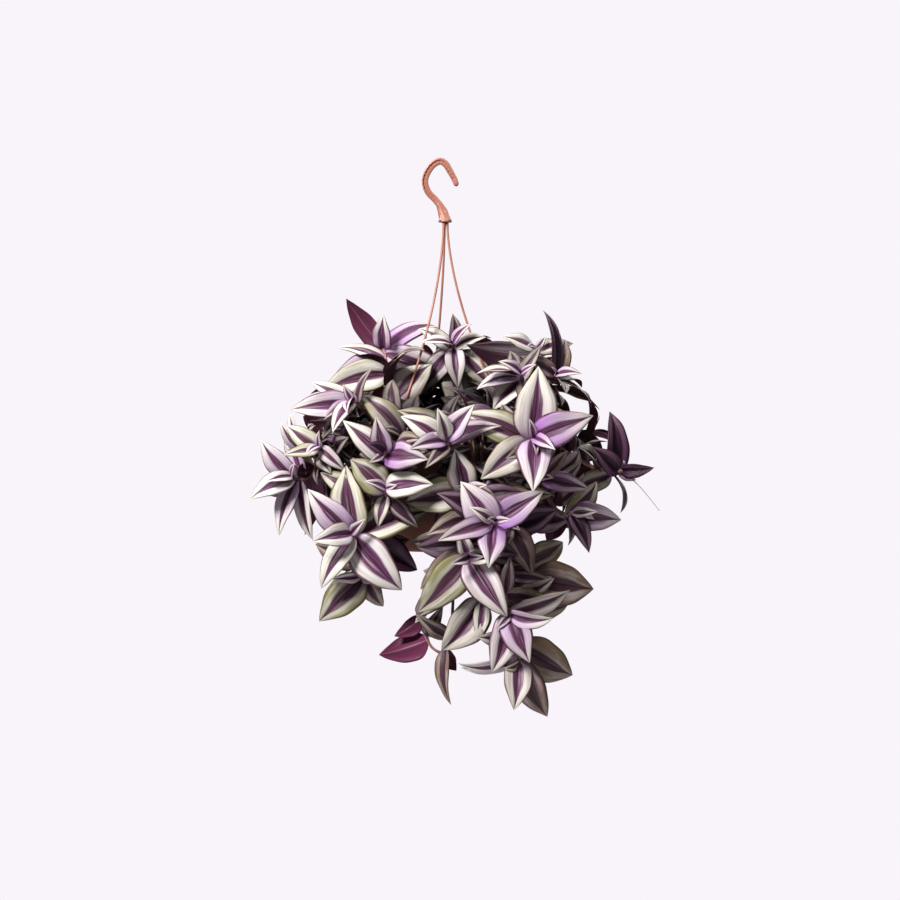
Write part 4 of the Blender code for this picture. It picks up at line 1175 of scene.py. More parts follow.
def off_midrib(finish, x):
    """How far a place is from the midrib, as a share of the half width."""
    return finish.math("ABSOLUTE", finish.minus(finish.times(x, 2.0), 1.0))


def streaks(finish, x, y, chance, across, along, detail=2.0):
    """Noise drawn out along the leaf, with its own start on every leaf."""
    place = finish.vector(finish.times(x, across), finish.times(y, along), chance)
    return finish.noise(place, 1.0, detail, 0.6)


def painted_shade_share(finish, dark):
    """Painted shade: falls from 1 at the foliage's middle to 0 at its outside, more so for dark
    leaves.
    """
    scaled = finish.steps(finish.place(), ("ADD", tuple(-v for v in CROWN_CENTRE)),
                          ("MULTIPLY", tuple(1 / v for v in CROWN_SEMI)))
    away = finish.node("ShaderNodeVectorMath", {0: scaled}, operation="LENGTH").outputs["Value"]
    depth = finish.minus(1.0, finish.band(away, *PAINTED_SHADE_DEPTHS))
    share = finish.plus(finish.times(dark, 1.8), 0.42, clamp=True)
    return finish.times(depth, share)


def leaf_top(colours):
    """Upper side: a plum stripe about the midrib, silver bands and a dusky edge, all streaked.

    The bands are steps of the distance from the midrib, as a share of the half width, moved by
    streaks so that their edges are ragged. The stripe narrows towards the tip and has paler and
    darker lines in it. Olive spreads inwards from the margin, and violet outwards from the base,
    by the shares in the leaf's look.
    """
    finish = Finish("Leaf, upper side")
    mix, band, plus, minus, times = finish.mix, finish.band, finish.plus, finish.minus, finish.times
    x, y, (olive, violet, dark), chance = leaf_parts(finish)
    across = off_midrib(finish, x)
    luck = finish.math("FRACT", chance)
    broad = streaks(finish, x, y, chance, 20.0, 1.3, 3.0)
    fine = streaks(finish, x, y, chance, 90.0, 2.6)
    patch = streaks(finish, x, y, chance, 4.5, 2.2)
    v = plus(across, plus(times(minus(broad, 0.5), 0.22), times(minus(fine, 0.5), 0.10)))
    # silver, greener towards the margin and in patches on an old leaf, violet towards the base
    towards_margin = band(plus(v, times(patch, 0.5)), 0.75, 1.25)
    greening = times(towards_margin, plus(times(olive, 0.7), 0.22))
    aged = times(olive, plus(times(band(patch, 0.36, 0.62), 0.55), 0.40))
    green = mix(band(olive, 0.62, 0.90), colours.olive, colours.khaki)
    silver = mix(band(broad, 0.35, 0.65), colours.silver, colours.silver_warm)
    silver = mix(plus(greening, aged, clamp=True), silver, green)
    fading = minus(1.20, times(y, 1.25))
    silver = mix(times(violet, fading, clamp=True), silver, colours.violet)
    at_base = times(minus(1.0, band(y, 0.02, 0.22)), 0.40)
    silver = mix(at_base, silver, colours.violet)
    # stripe about the midrib
    stripe = mix(band(fine, 0.38, 0.66), colours.stripe, colours.stripe_light)
    stripe = mix(times(band(broad, 0.52, 0.68), 0.42), stripe, silver)
    stripe = mix(times(olive, 0.55), stripe, colours.stripe_olive)
    wide = plus(times(luck, 0.12), times(dark, 0.10))
    taper = minus(1.0, times(band(y, 0.45, 1.0), 0.72))
    stripe_edge = times(plus(wide, 0.25), taper)
    in_silver = band(v, minus(stripe_edge, 0.05), plus(stripe_edge, 0.09))
    # margin, wider on a dark leaf
    margin_start = minus(minus(0.94, times(luck, 0.15)), times(dark, 0.10))
    in_margin = band(v, margin_start, plus(margin_start, 0.09))
    margin = mix(minus(1.0, band(violet, 0.0, 0.35)), colours.margin, colours.margin_olive)
    colour = mix(in_silver, stripe, silver)
    colour = mix(times(in_margin, 0.85), colour, margin)
    colour = mix(band(across, 0.955, 0.99), colour, colours.edge)
    colour = mix(band(across, 0.012, 0.040), colours.rib, colour)
    grain = plus(times(fine, 0.40), 0.80)
    colour = mix(1.0, colour, finish.vector(grain, grain, grain), "MULTIPLY")
    colour = finish.shaded(dark, colour, colours.gloom)
    # painted shade, deepest at the foliage's middle
    colour = finish.shaded(painted_shade_share(finish, dark), colour, colours.painted_shade_colour)
    finish.cover(colour, fine, 0.20, 0.28)
    finish.shader.inputs["Specular IOR Level"].default_value = 0.26
    finish.bump(plus(times(fine, 0.6), times(broad, 2.0)), 0.35, 0.0006)
    return finish.material


def leaf_back(colours):
    """Underside: wine red to magenta, streaked, with a paler midrib, and dark on a dark leaf."""
    finish = Finish("Leaf, underside")
    mix, band, minus, times = finish.mix, finish.band, finish.minus, finish.times
    x, y, (olive, violet, dark), chance = leaf_parts(finish)
    veins = streaks(finish, x, y, chance, 34.0, 1.4)
    patch = streaks(finish, x, y, chance, 5.0, 1.8)
    colour = mix(violet, colours.back, colours.back_bright)
    colour = mix(times(olive, 0.30), colour, colours.back_green)
    colour = mix(times(band(veins, 0.42, 0.70), 0.42), colour, colours.back_streak)
    colour = mix(times(band(patch, 0.40, 0.70), 0.35), colour, colours.back)
    on_rib = minus(1.0, band(off_midrib(finish, x), 0.015, 0.05))
    colour = mix(times(on_rib, 0.5), colour, colours.back_rib)
    colour = finish.shaded(dark, colour, colours.gloom)
    # painted shade, deepest at the foliage's middle
    colour = finish.shaded(painted_shade_share(finish, dark), colour, colours.painted_shade_colour)
    finish.cover(colour, veins, 0.2, 0.35)
    finish.shader.inputs["Specular IOR Level"].default_value = 0.30
    finish.bump(finish.plus(veins, patch), 0.30, 0.0005)
    return finish.material


def stem_finish(colours):
    """Stem: pinkish green, streaked with purple along its length, or withered where it is olive."""
    finish = Finish("Stem")
    x, y, (olive, _, _), chance = leaf_parts(finish)
    streak = streaks(finish, x, y, chance, 9.0, 7.0, 3.0)
    spread = finish.noise(finish.place(), 45.0)
    colour = finish.mix(finish.band(streak, 0.35, 0.7), colours.stem_dark, colours.stem)
    greening = finish.times(finish.band(spread, 0.45, 0.75), 0.5)
    colour = finish.mix(greening, colour, colours.stem_green)
    colour = finish.mix(finish.band(olive, 0.6, 0.8), colour, colours.withered)
    finish.cover(colour, streak, 0.2, 0.35)
    finish.bump(streak, 0.2, 0.0003)
    return finish.material


DUST = (0.75, 0.66, 0.60)
PERLITE = (0.62, 0.60, 0.55)
# The pot's painted shade inside the foliage, taken like a leaf's dark share
POT_SHADE_SHARE = 0.16                 # how dark the pot turns inside the foliage, like a leaf's share


def plastic_finish(name, colour, shade, roughness, painted_shade_colour=None):
    """Moulded plastic: an even satin colour with faint flow marks, a trace of dust and fine grain.

    With a painted-shade colour it gets painted shade inside the foliage, as the leaves there do.
    """
    finish = Finish(name)
    place = finish.place()
    flow = finish.noise(place, 38.0)
    dust = finish.noise(place, 300.0)
    tone = finish.mix(finish.band(flow, 0.35, 0.7), colour, shade)
    tone = finish.mix(finish.times(finish.band(dust, 0.5, 0.8), 0.04), tone, DUST)
    if painted_shade_colour is not None:
        # painted shade where the pot lies inside the foliage
        tone = finish.shaded(painted_shade_share(finish, POT_SHADE_SHARE), tone, painted_shade_colour)
    finish.cover(tone, flow, 0.18, roughness)
    finish.bump(dust, 0.05, 0.0001)
    return finish.material


def soil_finish(colours):
    """Potting mix: dark crumbs of several browns, with pale grains of perlite."""
    finish = Finish("Potting soil")
    place = finish.place()
    crumbs = finish.node("ShaderNodeTexVoronoi", {"Vector": place, "Scale": 420.0})
    tone = finish.noise(place, 160.0, 4.0, 0.7)
    colour = finish.mix(finish.band(tone, 0.3, 0.75), colours.soil, colours.soil_light)
    pick = finish.node("ShaderNodeSeparateColor", {0: crumbs.outputs["Color"]}).outputs[0]
    grains = finish.times(finish.band(pick, 0.955, 0.965), 0.8)
    finish.put(finish.shader.inputs["Base Color"], finish.mix(grains, colour, PERLITE))
    finish.shader.inputs["Roughness"].default_value = 0.95
    finish.bump(crumbs.outputs["Distance"], 0.6, 0.0015)
    return finish.material


# ------------------------------------------------------------------ hook, strands, pot and soil

HOOK_STATIONS = 200
TOOTH_PITCH = 3.3 * MM
GROOVE_HALF = 1.05 * MM
GROOVE_DEPTH = 1.3 * MM
GROOVE_SHIFT = 0.8 * MM             # the groove lies this far to the left of an upright limb
GROOVE_EASE = 0.15 * MM             # how much its two edges are eased
FLARE_HEIGHT = 13 * MM              # over which the band widens into the skirt
TIP_TAPER = (0, 20 * MM)            # before the tip, over which the band narrows
SKIRT_STEPS = 48
NECK_ROWS = 5                       # of the sections below, between which the neck is filled in
SKIRT_SECTIONS = (                  # height, shift of the middle, half width, half depth, in mm
    (-33.0, -6.3, 2.3, 1.6), (-37.0, -4.5, 3.2, 2.2), (-41.0, -2.6, 4.1, 3.0),
    (-45.0, -0.9, 4.9, 3.9), (-48.2, 0.0, 5.3, 4.6), (-48.9, 0.0, 5.8, 5.1),
    (-49.4, 0.0, 5.95, 5.3), (-50.2, 0.0, 5.95, 5.3), (-50.5, 0.0, 5.6, 4.9),
    (-50.5, 0.0, 5.0, 4.3), (-50.0, 0.0, 4.6, 3.9),
)
SKIRT_HOLLOW = -49.6 * MM           # height of the hollow's roof at its middle
STRAND_STATIONS = 70
STRAND_SIDES = 14
STRAND_SEAT = 1.1 * MM              # how far a strand's end goes up into the hollow


def hook_surface():
    """The hook: a rounded band with a toothed groove in each face, flaring into its skirt.

    The section is a rounded rectangle whose half width and half thickness change along the
    band. On both faces a groove runs along the middle, and its half width rises and falls as
    a sine of the distance travelled, which leaves a row of teeth.
    """
    line = smooth([Vector((x, z)) * MM for x, z in HOOK_LINE], 12)
    line = np.array([tuple(point) for point in evenly(line, HOOK_STATIONS)])
    travelled = travel(line)
    to_tip = travelled[-1] - travelled
    ahead = unit(np.gradient(line, axis=0))
    across = np.stack((-ahead[:, 1], ahead[:, 0]), axis=1)
    flare = 1 - np.clip((line[:, 1] - SKIRT_BOTTOM) / FLARE_HEIGHT, 0, 1)
    nose = 1 - np.clip(1 - to_tip / (BAND_WIDTH / 2), 0, 1) ** 2
    close = np.sqrt(np.clip(nose, 0.02, 1))
    half = BAND_WIDTH / 2 * (1 + 0.95 * flare ** 1.6) * close
    half = half * np.interp(to_tip, TIP_TAPER, (0.8, 1.0))
    deep = BAND_THICKNESS / 2 * (1 + 1.1 * flare ** 1.8) * (0.35 + 0.65 * close)
    runs = np.clip(np.minimum(travelled - 6 * MM, to_tip - 4.5 * MM) / (2 * MM), 0, 1)
    teeth = 0.5 + 0.5 * np.sin(travelled * math.tau / TOOTH_PITCH)
    gap = GROOVE_HALF * (0.72 + 0.45 * teeth) * runs + 0.02 * MM
    floor = deep - GROOVE_DEPTH * runs
    brink = deep - GROOVE_EASE * runs
    shift = -GROOVE_SHIFT * across[:, 0] * runs
    ease = 0.9 * MM * close
    left = [(-half, 0 * deep), (-half, deep - 1.1 * ease), (-half + 0.3 * ease, deep - 0.3 * ease),
            (-half + ease, deep)]
    groove = [(shift - gap - GROOVE_EASE, deep), (shift - gap, brink), (shift - 0.75 * gap, floor),
              (shift + 0.75 * gap, floor), (shift + gap, brink), (shift + gap + GROOVE_EASE, deep)]
    front = left + groove + [(-a, b) for a, b in left[::-1]]
    ring = front + [(a, -b) for a, b in front[-2:0:-1]]
    a = np.stack([pair[0] for pair in ring], axis=1)
    b = np.stack([pair[1] for pair in ring], axis=1)
    rings = np.stack((line[:, :1] + across[:, :1] * a, b, line[:, 1:] + across[:, 1:] * a), axis=2)
    return skin(rings, rings[0].mean(axis=0), rings[-1].mean(axis=0))


def skirt_surface():
    """The skirt under the band: ovals that widen down the neck to a rounded brim, hollow below."""
    neck, brim = np.array(SKIRT_SECTIONS[:NECK_ROWS]), np.array(SKIRT_SECTIONS[NECK_ROWS:])
    share = np.linspace(0, 1, 17) * (NECK_ROWS - 1)
    neck = np.stack([np.interp(share, np.arange(NECK_ROWS), column) for column in neck.T], axis=1)
    rows = np.vstack((neck, brim)) * MM
    turn = np.linspace(0, math.tau, SKIRT_STEPS, endpoint=False)
    rings = np.stack((AXIS_X + rows[:, 1:2] + rows[:, 2:3] * np.cos(turn),
                      rows[:, 3:4] * np.sin(turn),
                      np.repeat(rows[:, :1], SKIRT_STEPS, axis=1)), axis=2)
    return skin(rings, rings[0].mean(axis=0), np.array((AXIS_X, 0.0, SKIRT_HOLLOW)))


def strand_surface(turn):
    """A strand: a smooth rod on the plan's curve, a little thicker at its two ends."""
    route = np.array([tuple(point) for point in strand_route(turn, STRAND_STATIONS)])
    route[0, 2] += STRAND_SEAT
    share = np.linspace(0, 1, len(route))
    ends = 0.25 * np.exp(-(share / 0.02) ** 2) + 0.2 * np.exp(-((1 - share) / 0.015) ** 2)
    return rod(route, STRAND_RADIUS * (1 + ends), STRAND_SIDES)


def clip_surface(turn):
    """The clip that grips the rim: an upside-down U carried across its width.

    The outline is repeated at six places across the width, drawn in a little at the outer ones,
    which eases the edges.
    """
    slot = LIP_THICKNESS / 2 + 0.5 * MM
    leg = slot + CLIP_LEG
    outline = np.array([
        (-leg, -CLIP_DROP), (-slot, -CLIP_DROP), (-slot, GAP - 1 * MM), (-slot + 0.6 * MM, GAP),
        (0.0, GAP), (slot - 0.6 * MM, GAP), (slot, GAP - 1 * MM), (slot, -CLIP_DROP),
        (leg, -CLIP_DROP), (leg, CLIP_RISE - 1.4 * MM), (leg - 0.5 * MM, CLIP_RISE - 0.4 * MM),
        (leg - 1.4 * MM, CLIP_RISE), (0.0, CLIP_RISE), (-leg + 1.4 * MM, CLIP_RISE),
        (-leg + 0.5 * MM, CLIP_RISE - 0.4 * MM), (-leg, CLIP_RISE - 1.4 * MM)])
    ahead = unit(np.roll(outline, -1, axis=0) - np.roll(outline, 1, axis=0))
    inward = np.stack((-ahead[:, 1], ahead[:, 0]), axis=1)
    out = np.array((math.cos(turn), math.sin(turn), 0.0))
    tangent = np.array((-math.sin(turn), math.cos(turn), 0.0))
    centre = np.array((AXIS_X, 0.0, RIM_TOP)) + out * (RIM_RADIUS - LIP_THICKNESS / 2)
    half, ease = CLIP_WIDTH / 2, 0.35 * MM
    offsets = np.array((-half, -half + 0.3 * ease, -half + ease,
                        half - ease, half - 0.3 * ease, half))
    pulls = ease * np.array((1.0, 0.3, 0.0, 0.0, 0.3, 1.0))
    flat = outline[None] + inward[None] * pulls[:, None, None]
    rings = (centre + flat[:, :, :1] * out + flat[:, :, 1:] * np.array((0.0, 0.0, 1.0))
             + offsets[:, None, None] * tangent)
    return plates(rings)


def plates(rings):
    """The skin of a flat piece whose ends are closed by quads across the outline.

    The outline is an inner run and an outer run of equal length, so that point k faces point
    n - 1 - k across the piece.
    """
    closed = skin(rings, rings[0, 0], rings[-1, 0])
    rows, around = rings.shape[:2]
    k = np.arange(around // 2 - 1)
    near = np.stack((around - 1 - k, around - 2 - k, k + 1, k), axis=1)
    far = near[:, ::-1] + (rows - 1) * around
    quads = np.vstack((closed.quads, near, far))
    return Surface(closed.points[:-2], quads, np.empty((0, 3), dtype=int), None)


def fine_pot_profile():
    """The pot's half section: the plan's inside, a rolled lip, a straight wall, a recessed foot."""
    shoulder, base = RIM_TOP - LIP_HEIGHT, RIM_TOP - POT_HEIGHT
    lip, roll = RIM_RADIUS - LIP_THICKNESS / 2, np.linspace(math.pi, 0, 9)
    over = np.stack((lip + LIP_THICKNESS / 2 * np.cos(roll),
                     RIM_TOP - LIP_THICKNESS / 2 * (1 - np.sin(roll))), axis=1)
    under = [(RIM_RADIUS, shoulder + 0.8 * MM), (RIM_RADIUS - 0.3 * MM, shoulder + 0.2 * MM),
             (RIM_RADIUS - 0.9 * MM, shoulder)]
    share = np.linspace(0.03, 0.98, 26)[:, None]
    wall = (1 - share) * (RIM_RADIUS - LIP_THICKNESS + WALL, shoulder) + share * (BASE_RADIUS, base)
    foot = [(BASE_RADIUS - 0.5 * MM, base + 0.2 * MM), (BASE_RADIUS - 1.2 * MM, base),
            (BASE_RADIUS - 4.0 * MM, base), (BASE_RADIUS - 4.6 * MM, base + 0.5 * MM),
            (BASE_RADIUS - 5.0 * MM, base + FOOT_HEIGHT), (0.2 * MM, base + FOOT_HEIGHT)]
    inside = [(0.2 * MM, base + FOOT_HEIGHT + FLOOR)] + list(pot_profile()[1:3])
    return np.vstack((inside, over, under, wall, foot))


def soil_surface():
    """The soil: a disc whose height is a sum of sines and seeded crumbs, closed by its sides."""
    bottom = RIM_TOP - POT_HEIGHT + FOOT_HEIGHT + FLOOR + GAP
    draw = np.random.default_rng(7)
    around, rows = 150, 56
    turn = np.linspace(0, math.tau, around, endpoint=False)
    share = np.linspace(1, 0.01, rows)
    radius = soil_radius(SOIL_TOP) * share
    x = np.cos(turn)[None, :] * radius[:, None]
    y = np.sin(turn)[None, :] * radius[:, None]
    lumps = (np.sin(x * 310 + 1.3) * np.cos(y * 270) + np.sin(x * 620 + y * 540)) * 0.35 * MM
    crumbs = draw.uniform(-0.5, 0.15, x.shape) * MM
    fade = np.clip((1 - share) * 8, 0, 1)[:, None]
    top = SOIL_TOP - 0.4 * MM + (lumps + crumbs) * fade
    rings = np.stack((AXIS_X + x, y, top), axis=2)
    low = soil_radius(bottom)
    foot = np.stack((AXIS_X + np.cos(turn) * low, np.sin(turn) * low, np.full(around, bottom)),
                    axis=1)
    return skin(np.concatenate((foot[None], rings)), np.array((AXIS_X, 0.0, bottom)),
                np.array((AXIS_X, 0.0, SOIL_TOP - 0.6 * MM)))


# ------------------------------------------------------------------ settings

def colour_of(name, default, description):
    """A colour in the panel."""
    return bpy.props.FloatVectorProperty(name=name, description=description, default=default,
                                         size=3, min=0.0, max=1.0, subtype="COLOR")


class TradescantiaSizes(bpy.types.PropertyGroup):
    """What can be set of the leaves and of the camera"""
    leaf_thickness: bpy.props.FloatProperty(
        name="Leaf thickness", description="Thickness of a blade at its midrib",
        default=0.6 * MM, min=0.2 * MM, max=1.5 * MM, unit="LENGTH")
    young_leaves: bpy.props.IntProperty(
        name="Young leaves", description="Folded young leaves at each shoot's tip",
        default=2, min=0, max=4)
    filler_leaves: bpy.props.IntProperty(
        name="Small leaves", description="Small leaves sought room for along each stem",
        default=12, min=0, max=16)
    camera_distance: bpy.props.FloatProperty(
        name="Camera distance", description="From the camera to the hanger's axis", default=1.8,
        min=0.5, max=6.0, unit="LENGTH")
    frame_width: bpy.props.FloatProperty(
        name="Frame width", description="Width that the camera takes in at the hanger's axis",
        default=0.7875, min=0.2, max=3.0, unit="LENGTH")


class TradescantiaColours(bpy.types.PropertyGroup):
    """The colours of every finish"""
    silver: colour_of("Silver band", (0.88, 0.86, 0.80), "Band of a young leaf's upper side")
    silver_warm: colour_of("Warm silver", (0.66, 0.60, 0.50), "Streaks in the silver band")
    olive: colour_of("Olive band", (0.30, 0.29, 0.125), "Band of an old leaf's upper side")
    khaki: colour_of("Khaki", (0.31, 0.215, 0.120), "Green of the oldest leaves")
    violet: colour_of("Violet tint", (0.43, 0.17, 0.54), "Tint near the base of a young leaf")
    stripe: colour_of("Midrib stripe", (0.062, 0.012, 0.046), "Dark stripe about the midrib")
    stripe_light: colour_of("Stripe streaks", (0.20, 0.066, 0.160),
                            "Lighter streaks in the dark stripe")
    stripe_olive: colour_of("Olive stripe", (0.10, 0.06, 0.045), "Stripe of an old leaf")
    margin: colour_of("Margin", (0.160, 0.042, 0.10), "Dusky margin of a violet leaf")
    margin_olive: colour_of("Olive margin", (0.21, 0.165, 0.085), "Margin of a pale or an old leaf")
    edge: colour_of("Edge", (0.13, 0.05, 0.06), "Thin line along the leaf's edge")
    rib: colour_of("Midrib", (0.03, 0.010, 0.016), "Line of the midrib itself")
    gloom: colour_of("Gloom", (0.135, 0.045, 0.120), "What the darkest leaves are multiplied by")
    # Painted shade: what the innermost leaves, and the pot inside the foliage, are multiplied by
    painted_shade_colour: colour_of("Heart", (0.036, 0.014, 0.024), "What the innermost leaves are multiplied by")
    back: colour_of("Underside", (0.065, 0.013, 0.026), "Underside of a leaf")
    back_bright: colour_of("Bright underside", (0.155, 0.022, 0.078), "Underside of a young leaf")
    back_streak: colour_of("Underside streaks", (0.20, 0.060, 0.105),
                           "Paler streaks along the underside")
    back_green: colour_of("Green underside", (0.13, 0.10, 0.055),
                          "Green that shows through an old underside")
    back_rib: colour_of("Underside midrib", (0.34, 0.20, 0.19), "Midrib seen from below")
    stem: colour_of("Stem", (0.42, 0.22, 0.18), "Stem")
    stem_dark: colour_of("Stem streaks", (0.13, 0.05, 0.06), "Dark streaks along a stem")
    stem_green: colour_of("Stem green", (0.22, 0.20, 0.10), "Green of an old stem")
    withered: colour_of("Withered stalk", (0.42, 0.33, 0.25), "Dry stalk that hangs from one shoot")
    hanger: colour_of("Hanger plastic", (0.44, 0.175, 0.120), "Terracotta-coloured hanger")
    hanger_shade: colour_of("Hanger flow marks", (0.36, 0.13, 0.085),
                            "Darker flow marks in the hanger")
    # The pot's terracotta is set deep: partly the pot's own colour, partly painted shade from the
    # foliage over it
    pot: colour_of("Pot plastic", (0.26, 0.085, 0.050), "Terracotta-coloured pot")
    pot_shade: colour_of("Pot flow marks", (0.20, 0.062, 0.038), "Darker flow marks in the pot")
    soil: colour_of("Soil", (0.022, 0.014, 0.009), "Moist potting mix")
    soil_light: colour_of("Soil crumbs", (0.085, 0.052, 0.032), "Drier crumbs in the potting mix")
    backdrop: colour_of("Backdrop", (0.947, 0.905, 0.956), "Pale studio backdrop")
    floor: colour_of("Floor", (0.80, 0.77, 0.81), "Pale studio floor")


# ------------------------------------------------------------------ operators

HANGER_ROUGHNESS = 0.34
POT_ROUGHNESS = 0.42
POT_STEPS = 120                     # around its axis
HOLE_PHASE = 0.37                   # of the turn between two drainage holes
BIT_HEIGHTS = (-4, 3, 10)           # mm over the pot's foot
BIT_SIDES = 24
VIEW_MIDDLE = Vector((0.0092, 0.0, -0.2498))
SENSOR_WIDTH = 36.0                 # mm
FLOOR_HEIGHT = -1.15
FLOOR_RADII = (1.15, 1.14, 0.6)
FLOOR_STEPS = 96
LIGHTS = (                          # name, place, size, power
    ("Key", (-0.90, -1.20, 0.85), 0.60, 58.0), ("Fill", (1.5, -1.5, 0.1), 1.6, 5.0),
    ("Top", (0.1, 0.2, 1.3), 1.0, 16.0), ("Rim", (0.7, 1.4, 0.5), 1.0, 8.0),
)
WORLD_LIGHT = 0.13                  # how strongly the backdrop lights what it surrounds


class TRADESCANTIA_OT_hanger(bpy.types.Operator):
    """Make the hook with its skirt, the three strands and their clips"""
    bl_idname = "tradescantia.hanger"
    bl_label = "Hanger"

    def execute(self, context):
        colours = context.scene.tradescantia_colours
        plastic = plastic_finish("Hanger plastic", colours.hanger, colours.hanger_shade,
                                 HANGER_ROUGHNESS)
        place_piece(plain_piece("hook", hook_surface(), plastic), "hanger_plastic", "hanger_hook")
        place_piece(plain_piece("hook_skirt", skirt_surface(), plastic), "hanger_plastic")
        for number, degrees in enumerate(STRAND_TURNS, start=1):
            turn = math.radians(degrees)
            strand = plain_piece("strand_%d" % number, strand_surface(turn), plastic)
            place_piece(strand, "hanger_plastic", "hanger_strand_%d" % number)
            clip = plain_piece("rim_clip_%d" % number, clip_surface(turn), plastic)
            place_piece(clip, "hanger_plastic")
        return {"FINISHED"}


class TRADESCANTIA_OT_pot(bpy.types.Operator):
    """Make the pot with its rolled rim and drainage holes"""
    bl_idname = "tradescantia.pot"
    bl_label = "Pot"

    def execute(self, context):
        colours = context.scene.tradescantia_colours
        # the pot's plastic gets painted shade inside the foliage
        plastic = plastic_finish("Pot plastic", colours.pot, colours.pot_shade, POT_ROUGHNESS,
                                 colours.painted_shade_colour)
        pot = plain_piece("hanging_pot", turned(fine_pot_profile(), POT_STEPS), plastic)
        drill(pot, (AXIS_X, 0.0))
        for k in range(DRAINS):
            drill(pot, around_axis((k + HOLE_PHASE) * math.tau / DRAINS, DRAIN_CIRCLE, 0.0)[:2])
        pot.data.set_sharp_from_angle(angle=math.radians(SHARP))
        place_piece(pot, "pot_plastic", "pot")
        return {"FINISHED"}


def drill(pot, centre):
    """A drainage hole cut through the floor with a round bit, which is then removed."""
    base = RIM_TOP - POT_HEIGHT
    path = np.array([(*centre, base + height * MM) for height in BIT_HEIGHTS])
    bit = plain_piece("drain_bit", rod(path, DRAIN_RADIUS, BIT_SIDES), pot.data.materials[0])
    cut = pot.modifiers.new("Drain", "BOOLEAN")
    cut.operation = "DIFFERENCE"
    cut.solver = "EXACT"
    cut.object = bit
    bpy.context.view_layer.update()
    cut_pot = pot.evaluated_get(bpy.context.evaluated_depsgraph_get())
    result = bpy.data.meshes.new_from_object(cut_pot)
    pot.modifiers.clear()
    pot.data = result
    spent = bit.data
    bpy.data.objects.remove(bit, do_unlink=True)
    bpy.data.meshes.remove(spent)


class TRADESCANTIA_OT_soil(bpy.types.Operator):
    """Fill the pot with crumbly soil"""
    bl_idname = "tradescantia.soil"
    bl_label = "Soil"

    def execute(self, context):
        earth = soil_finish(context.scene.tradescantia_colours)
        place_piece(plain_piece("potting_soil", soil_surface(), earth, 180), "soil", "soil")
        return {"FINISHED"}


class TRADESCANTIA_OT_foliage(bpy.types.Operator):
    """Grow every shoot: stem, rosette, leaves along the stem and young leaves at the tip"""
    bl_idname = "tradescantia.foliage"
    bl_label = "Foliage"

    def execute(self, context):
        sizes = context.scene.tradescantia_sizes
        colours = context.scene.tradescantia_colours
        materials = [leaf_top(colours), leaf_back(colours), stem_finish(colours)]
        thicket, shoots = lay_out_shoots(holder_obstacles())
        add_small_leaves(thicket, shoots, sizes)
        for shoot in shoots:
            if shoot.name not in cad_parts:
                raise RuntimeError("the frame has no %s" % shoot.name)
            place_piece(grow_shoot(shoot, materials, sizes), "foliage", shoot.name)
        return {"FINISHED"}


def aim_camera(scene, distance, width):
    """A camera level with the plant's middle, which takes in the given width at the hanger."""
    data = bpy.data.cameras.new("Camera")
    data.sensor_width = SENSOR_WIDTH
    data.lens = SENSOR_WIDTH * distance / width
    camera = bpy.data.objects.new("Camera", data)
    camera.location = VIEW_MIDDLE - Vector((0.0, distance, 0.0))
    camera.rotation_euler = (math.radians(90), 0.0, 0.0)
    scene.collection.objects.link(camera)
    scene.camera = camera
    scene.view_settings.view_transform = "Standard"


def lay_floor(pale):
    """A thin round floor well below the plant."""
    turn = np.linspace(0, math.tau, FLOOR_STEPS, endpoint=False)
    radius = np.array(FLOOR_RADII)[:, None]
    height = np.array((FLOOR_HEIGHT - 0.01, FLOOR_HEIGHT, FLOOR_HEIGHT))[:, None]
    rings = np.stack((np.cos(turn) * radius, np.sin(turn) * radius,
                      np.broadcast_to(height, (len(FLOOR_RADII), FLOOR_STEPS))), axis=2)
    disc = skin(rings, np.array((0, 0, FLOOR_HEIGHT - 0.01)), np.array((0, 0, FLOOR_HEIGHT)))
    finish = Finish("Studio floor")
    tone = finish.noise(finish.place(), 6.0)
    finish.put(finish.shader.inputs["Base Color"], finish.mix(tone, pale, [c * 0.96 for c in pale]))
    finish.shader.inputs["Roughness"].default_value = 0.8
    plain_piece("studio_floor", disc, finish.material)


def add_light(name, location, size, power):
    """A round area light that faces the plant's middle."""
    data = bpy.data.lights.new(name, "AREA")
    data.shape = "DISK"
    data.size = size
    data.energy = power
    lamp = bpy.data.objects.new(name, data)
    lamp.location = location
    lamp.rotation_euler = (VIEW_MIDDLE - Vector(location)).to_track_quat("-Z", "Y").to_euler()
    bpy.context.scene.collection.objects.link(lamp)


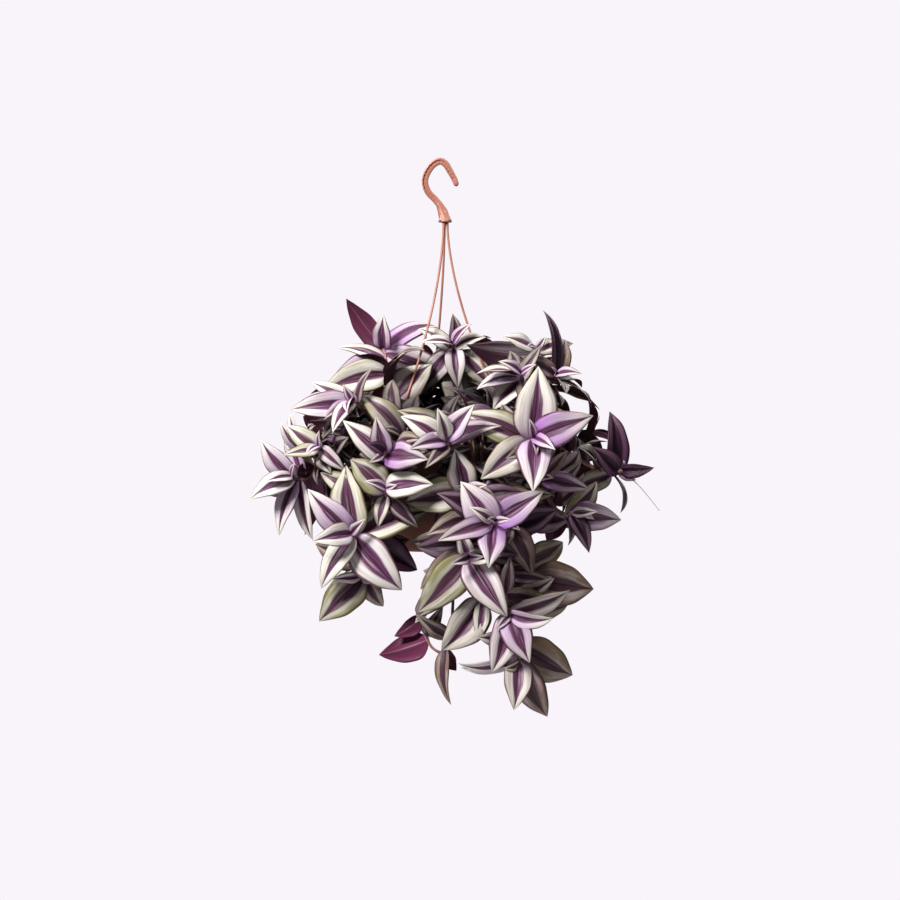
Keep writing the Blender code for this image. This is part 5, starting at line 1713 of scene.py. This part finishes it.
def surround(scene, backdrop):
    """A backdrop that the camera sees in full, and that lights the plant only faintly."""
    world = bpy.data.worlds.new("Studio")
    world.use_nodes = True
    scene.world = world
    tree = world.node_tree
    faint = tree.nodes["Background"]
    seen = tree.nodes.new("ShaderNodeBackground")
    for background, strength in ((faint, WORLD_LIGHT), (seen, 1.0)):
        background.inputs["Color"].default_value = rgba(backdrop)
        background.inputs["Strength"].default_value = strength
    path = tree.nodes.new("ShaderNodeLightPath")
    mixed = tree.nodes.new("ShaderNodeMixShader")
    tree.links.new(path.outputs["Is Camera Ray"], mixed.inputs[0])
    tree.links.new(faint.outputs[0], mixed.inputs[1])
    tree.links.new(seen.outputs[0], mixed.inputs[2])
    tree.links.new(mixed.outputs[0], tree.nodes["World Output"].inputs["Surface"])


class TRADESCANTIA_OT_stage(bpy.types.Operator):
    """Set the pale floor, the soft lights, the backdrop and the camera"""
    bl_idname = "tradescantia.stage"
    bl_label = "Stage"

    def execute(self, context):
        sizes = context.scene.tradescantia_sizes
        colours = context.scene.tradescantia_colours
        aim_camera(context.scene, sizes.camera_distance, sizes.frame_width)
        lay_floor(colours.floor)
        for light in LIGHTS:
            add_light(*light)
        surround(context.scene, colours.backdrop)
        return {"FINISHED"}


class TRADESCANTIA_PT_panel(bpy.types.Panel):
    """Sizes, colours and the steps that make the plant"""
    bl_idname = "TRADESCANTIA_PT_panel"
    bl_label = "Potted tradescantia"
    bl_space_type = "VIEW_3D"
    bl_region_type = "UI"
    bl_category = "Tradescantia"

    def draw(self, context):
        for group in (context.scene.tradescantia_sizes, context.scene.tradescantia_colours):
            box = self.layout.box()
            for key in group.__annotations__:
                box.prop(group, key)
        for step in STEPS:
            self.layout.operator(step.bl_idname)


STEPS = (TRADESCANTIA_OT_stage, TRADESCANTIA_OT_hanger, TRADESCANTIA_OT_pot, TRADESCANTIA_OT_soil,
         TRADESCANTIA_OT_foliage)
CLASSES = (TradescantiaSizes, TradescantiaColours) + STEPS + (TRADESCANTIA_PT_panel,)


def register():
    for cls in CLASSES:
        bpy.utils.register_class(cls)
    bpy.types.Scene.tradescantia_sizes = bpy.props.PointerProperty(type=TradescantiaSizes)
    bpy.types.Scene.tradescantia_colours = bpy.props.PointerProperty(type=TradescantiaColours)


def unregister():
    del bpy.types.Scene.tradescantia_colours
    del bpy.types.Scene.tradescantia_sizes
    for cls in reversed(CLASSES):
        bpy.utils.unregister_class(cls)


def main():
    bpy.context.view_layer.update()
    register()
    bpy.ops.tradescantia.stage()
    bpy.ops.tradescantia.hanger()
    bpy.ops.tradescantia.pot()
    bpy.ops.tradescantia.soil()
    bpy.ops.tradescantia.foliage()


if __name__ == "__main__":
    main()
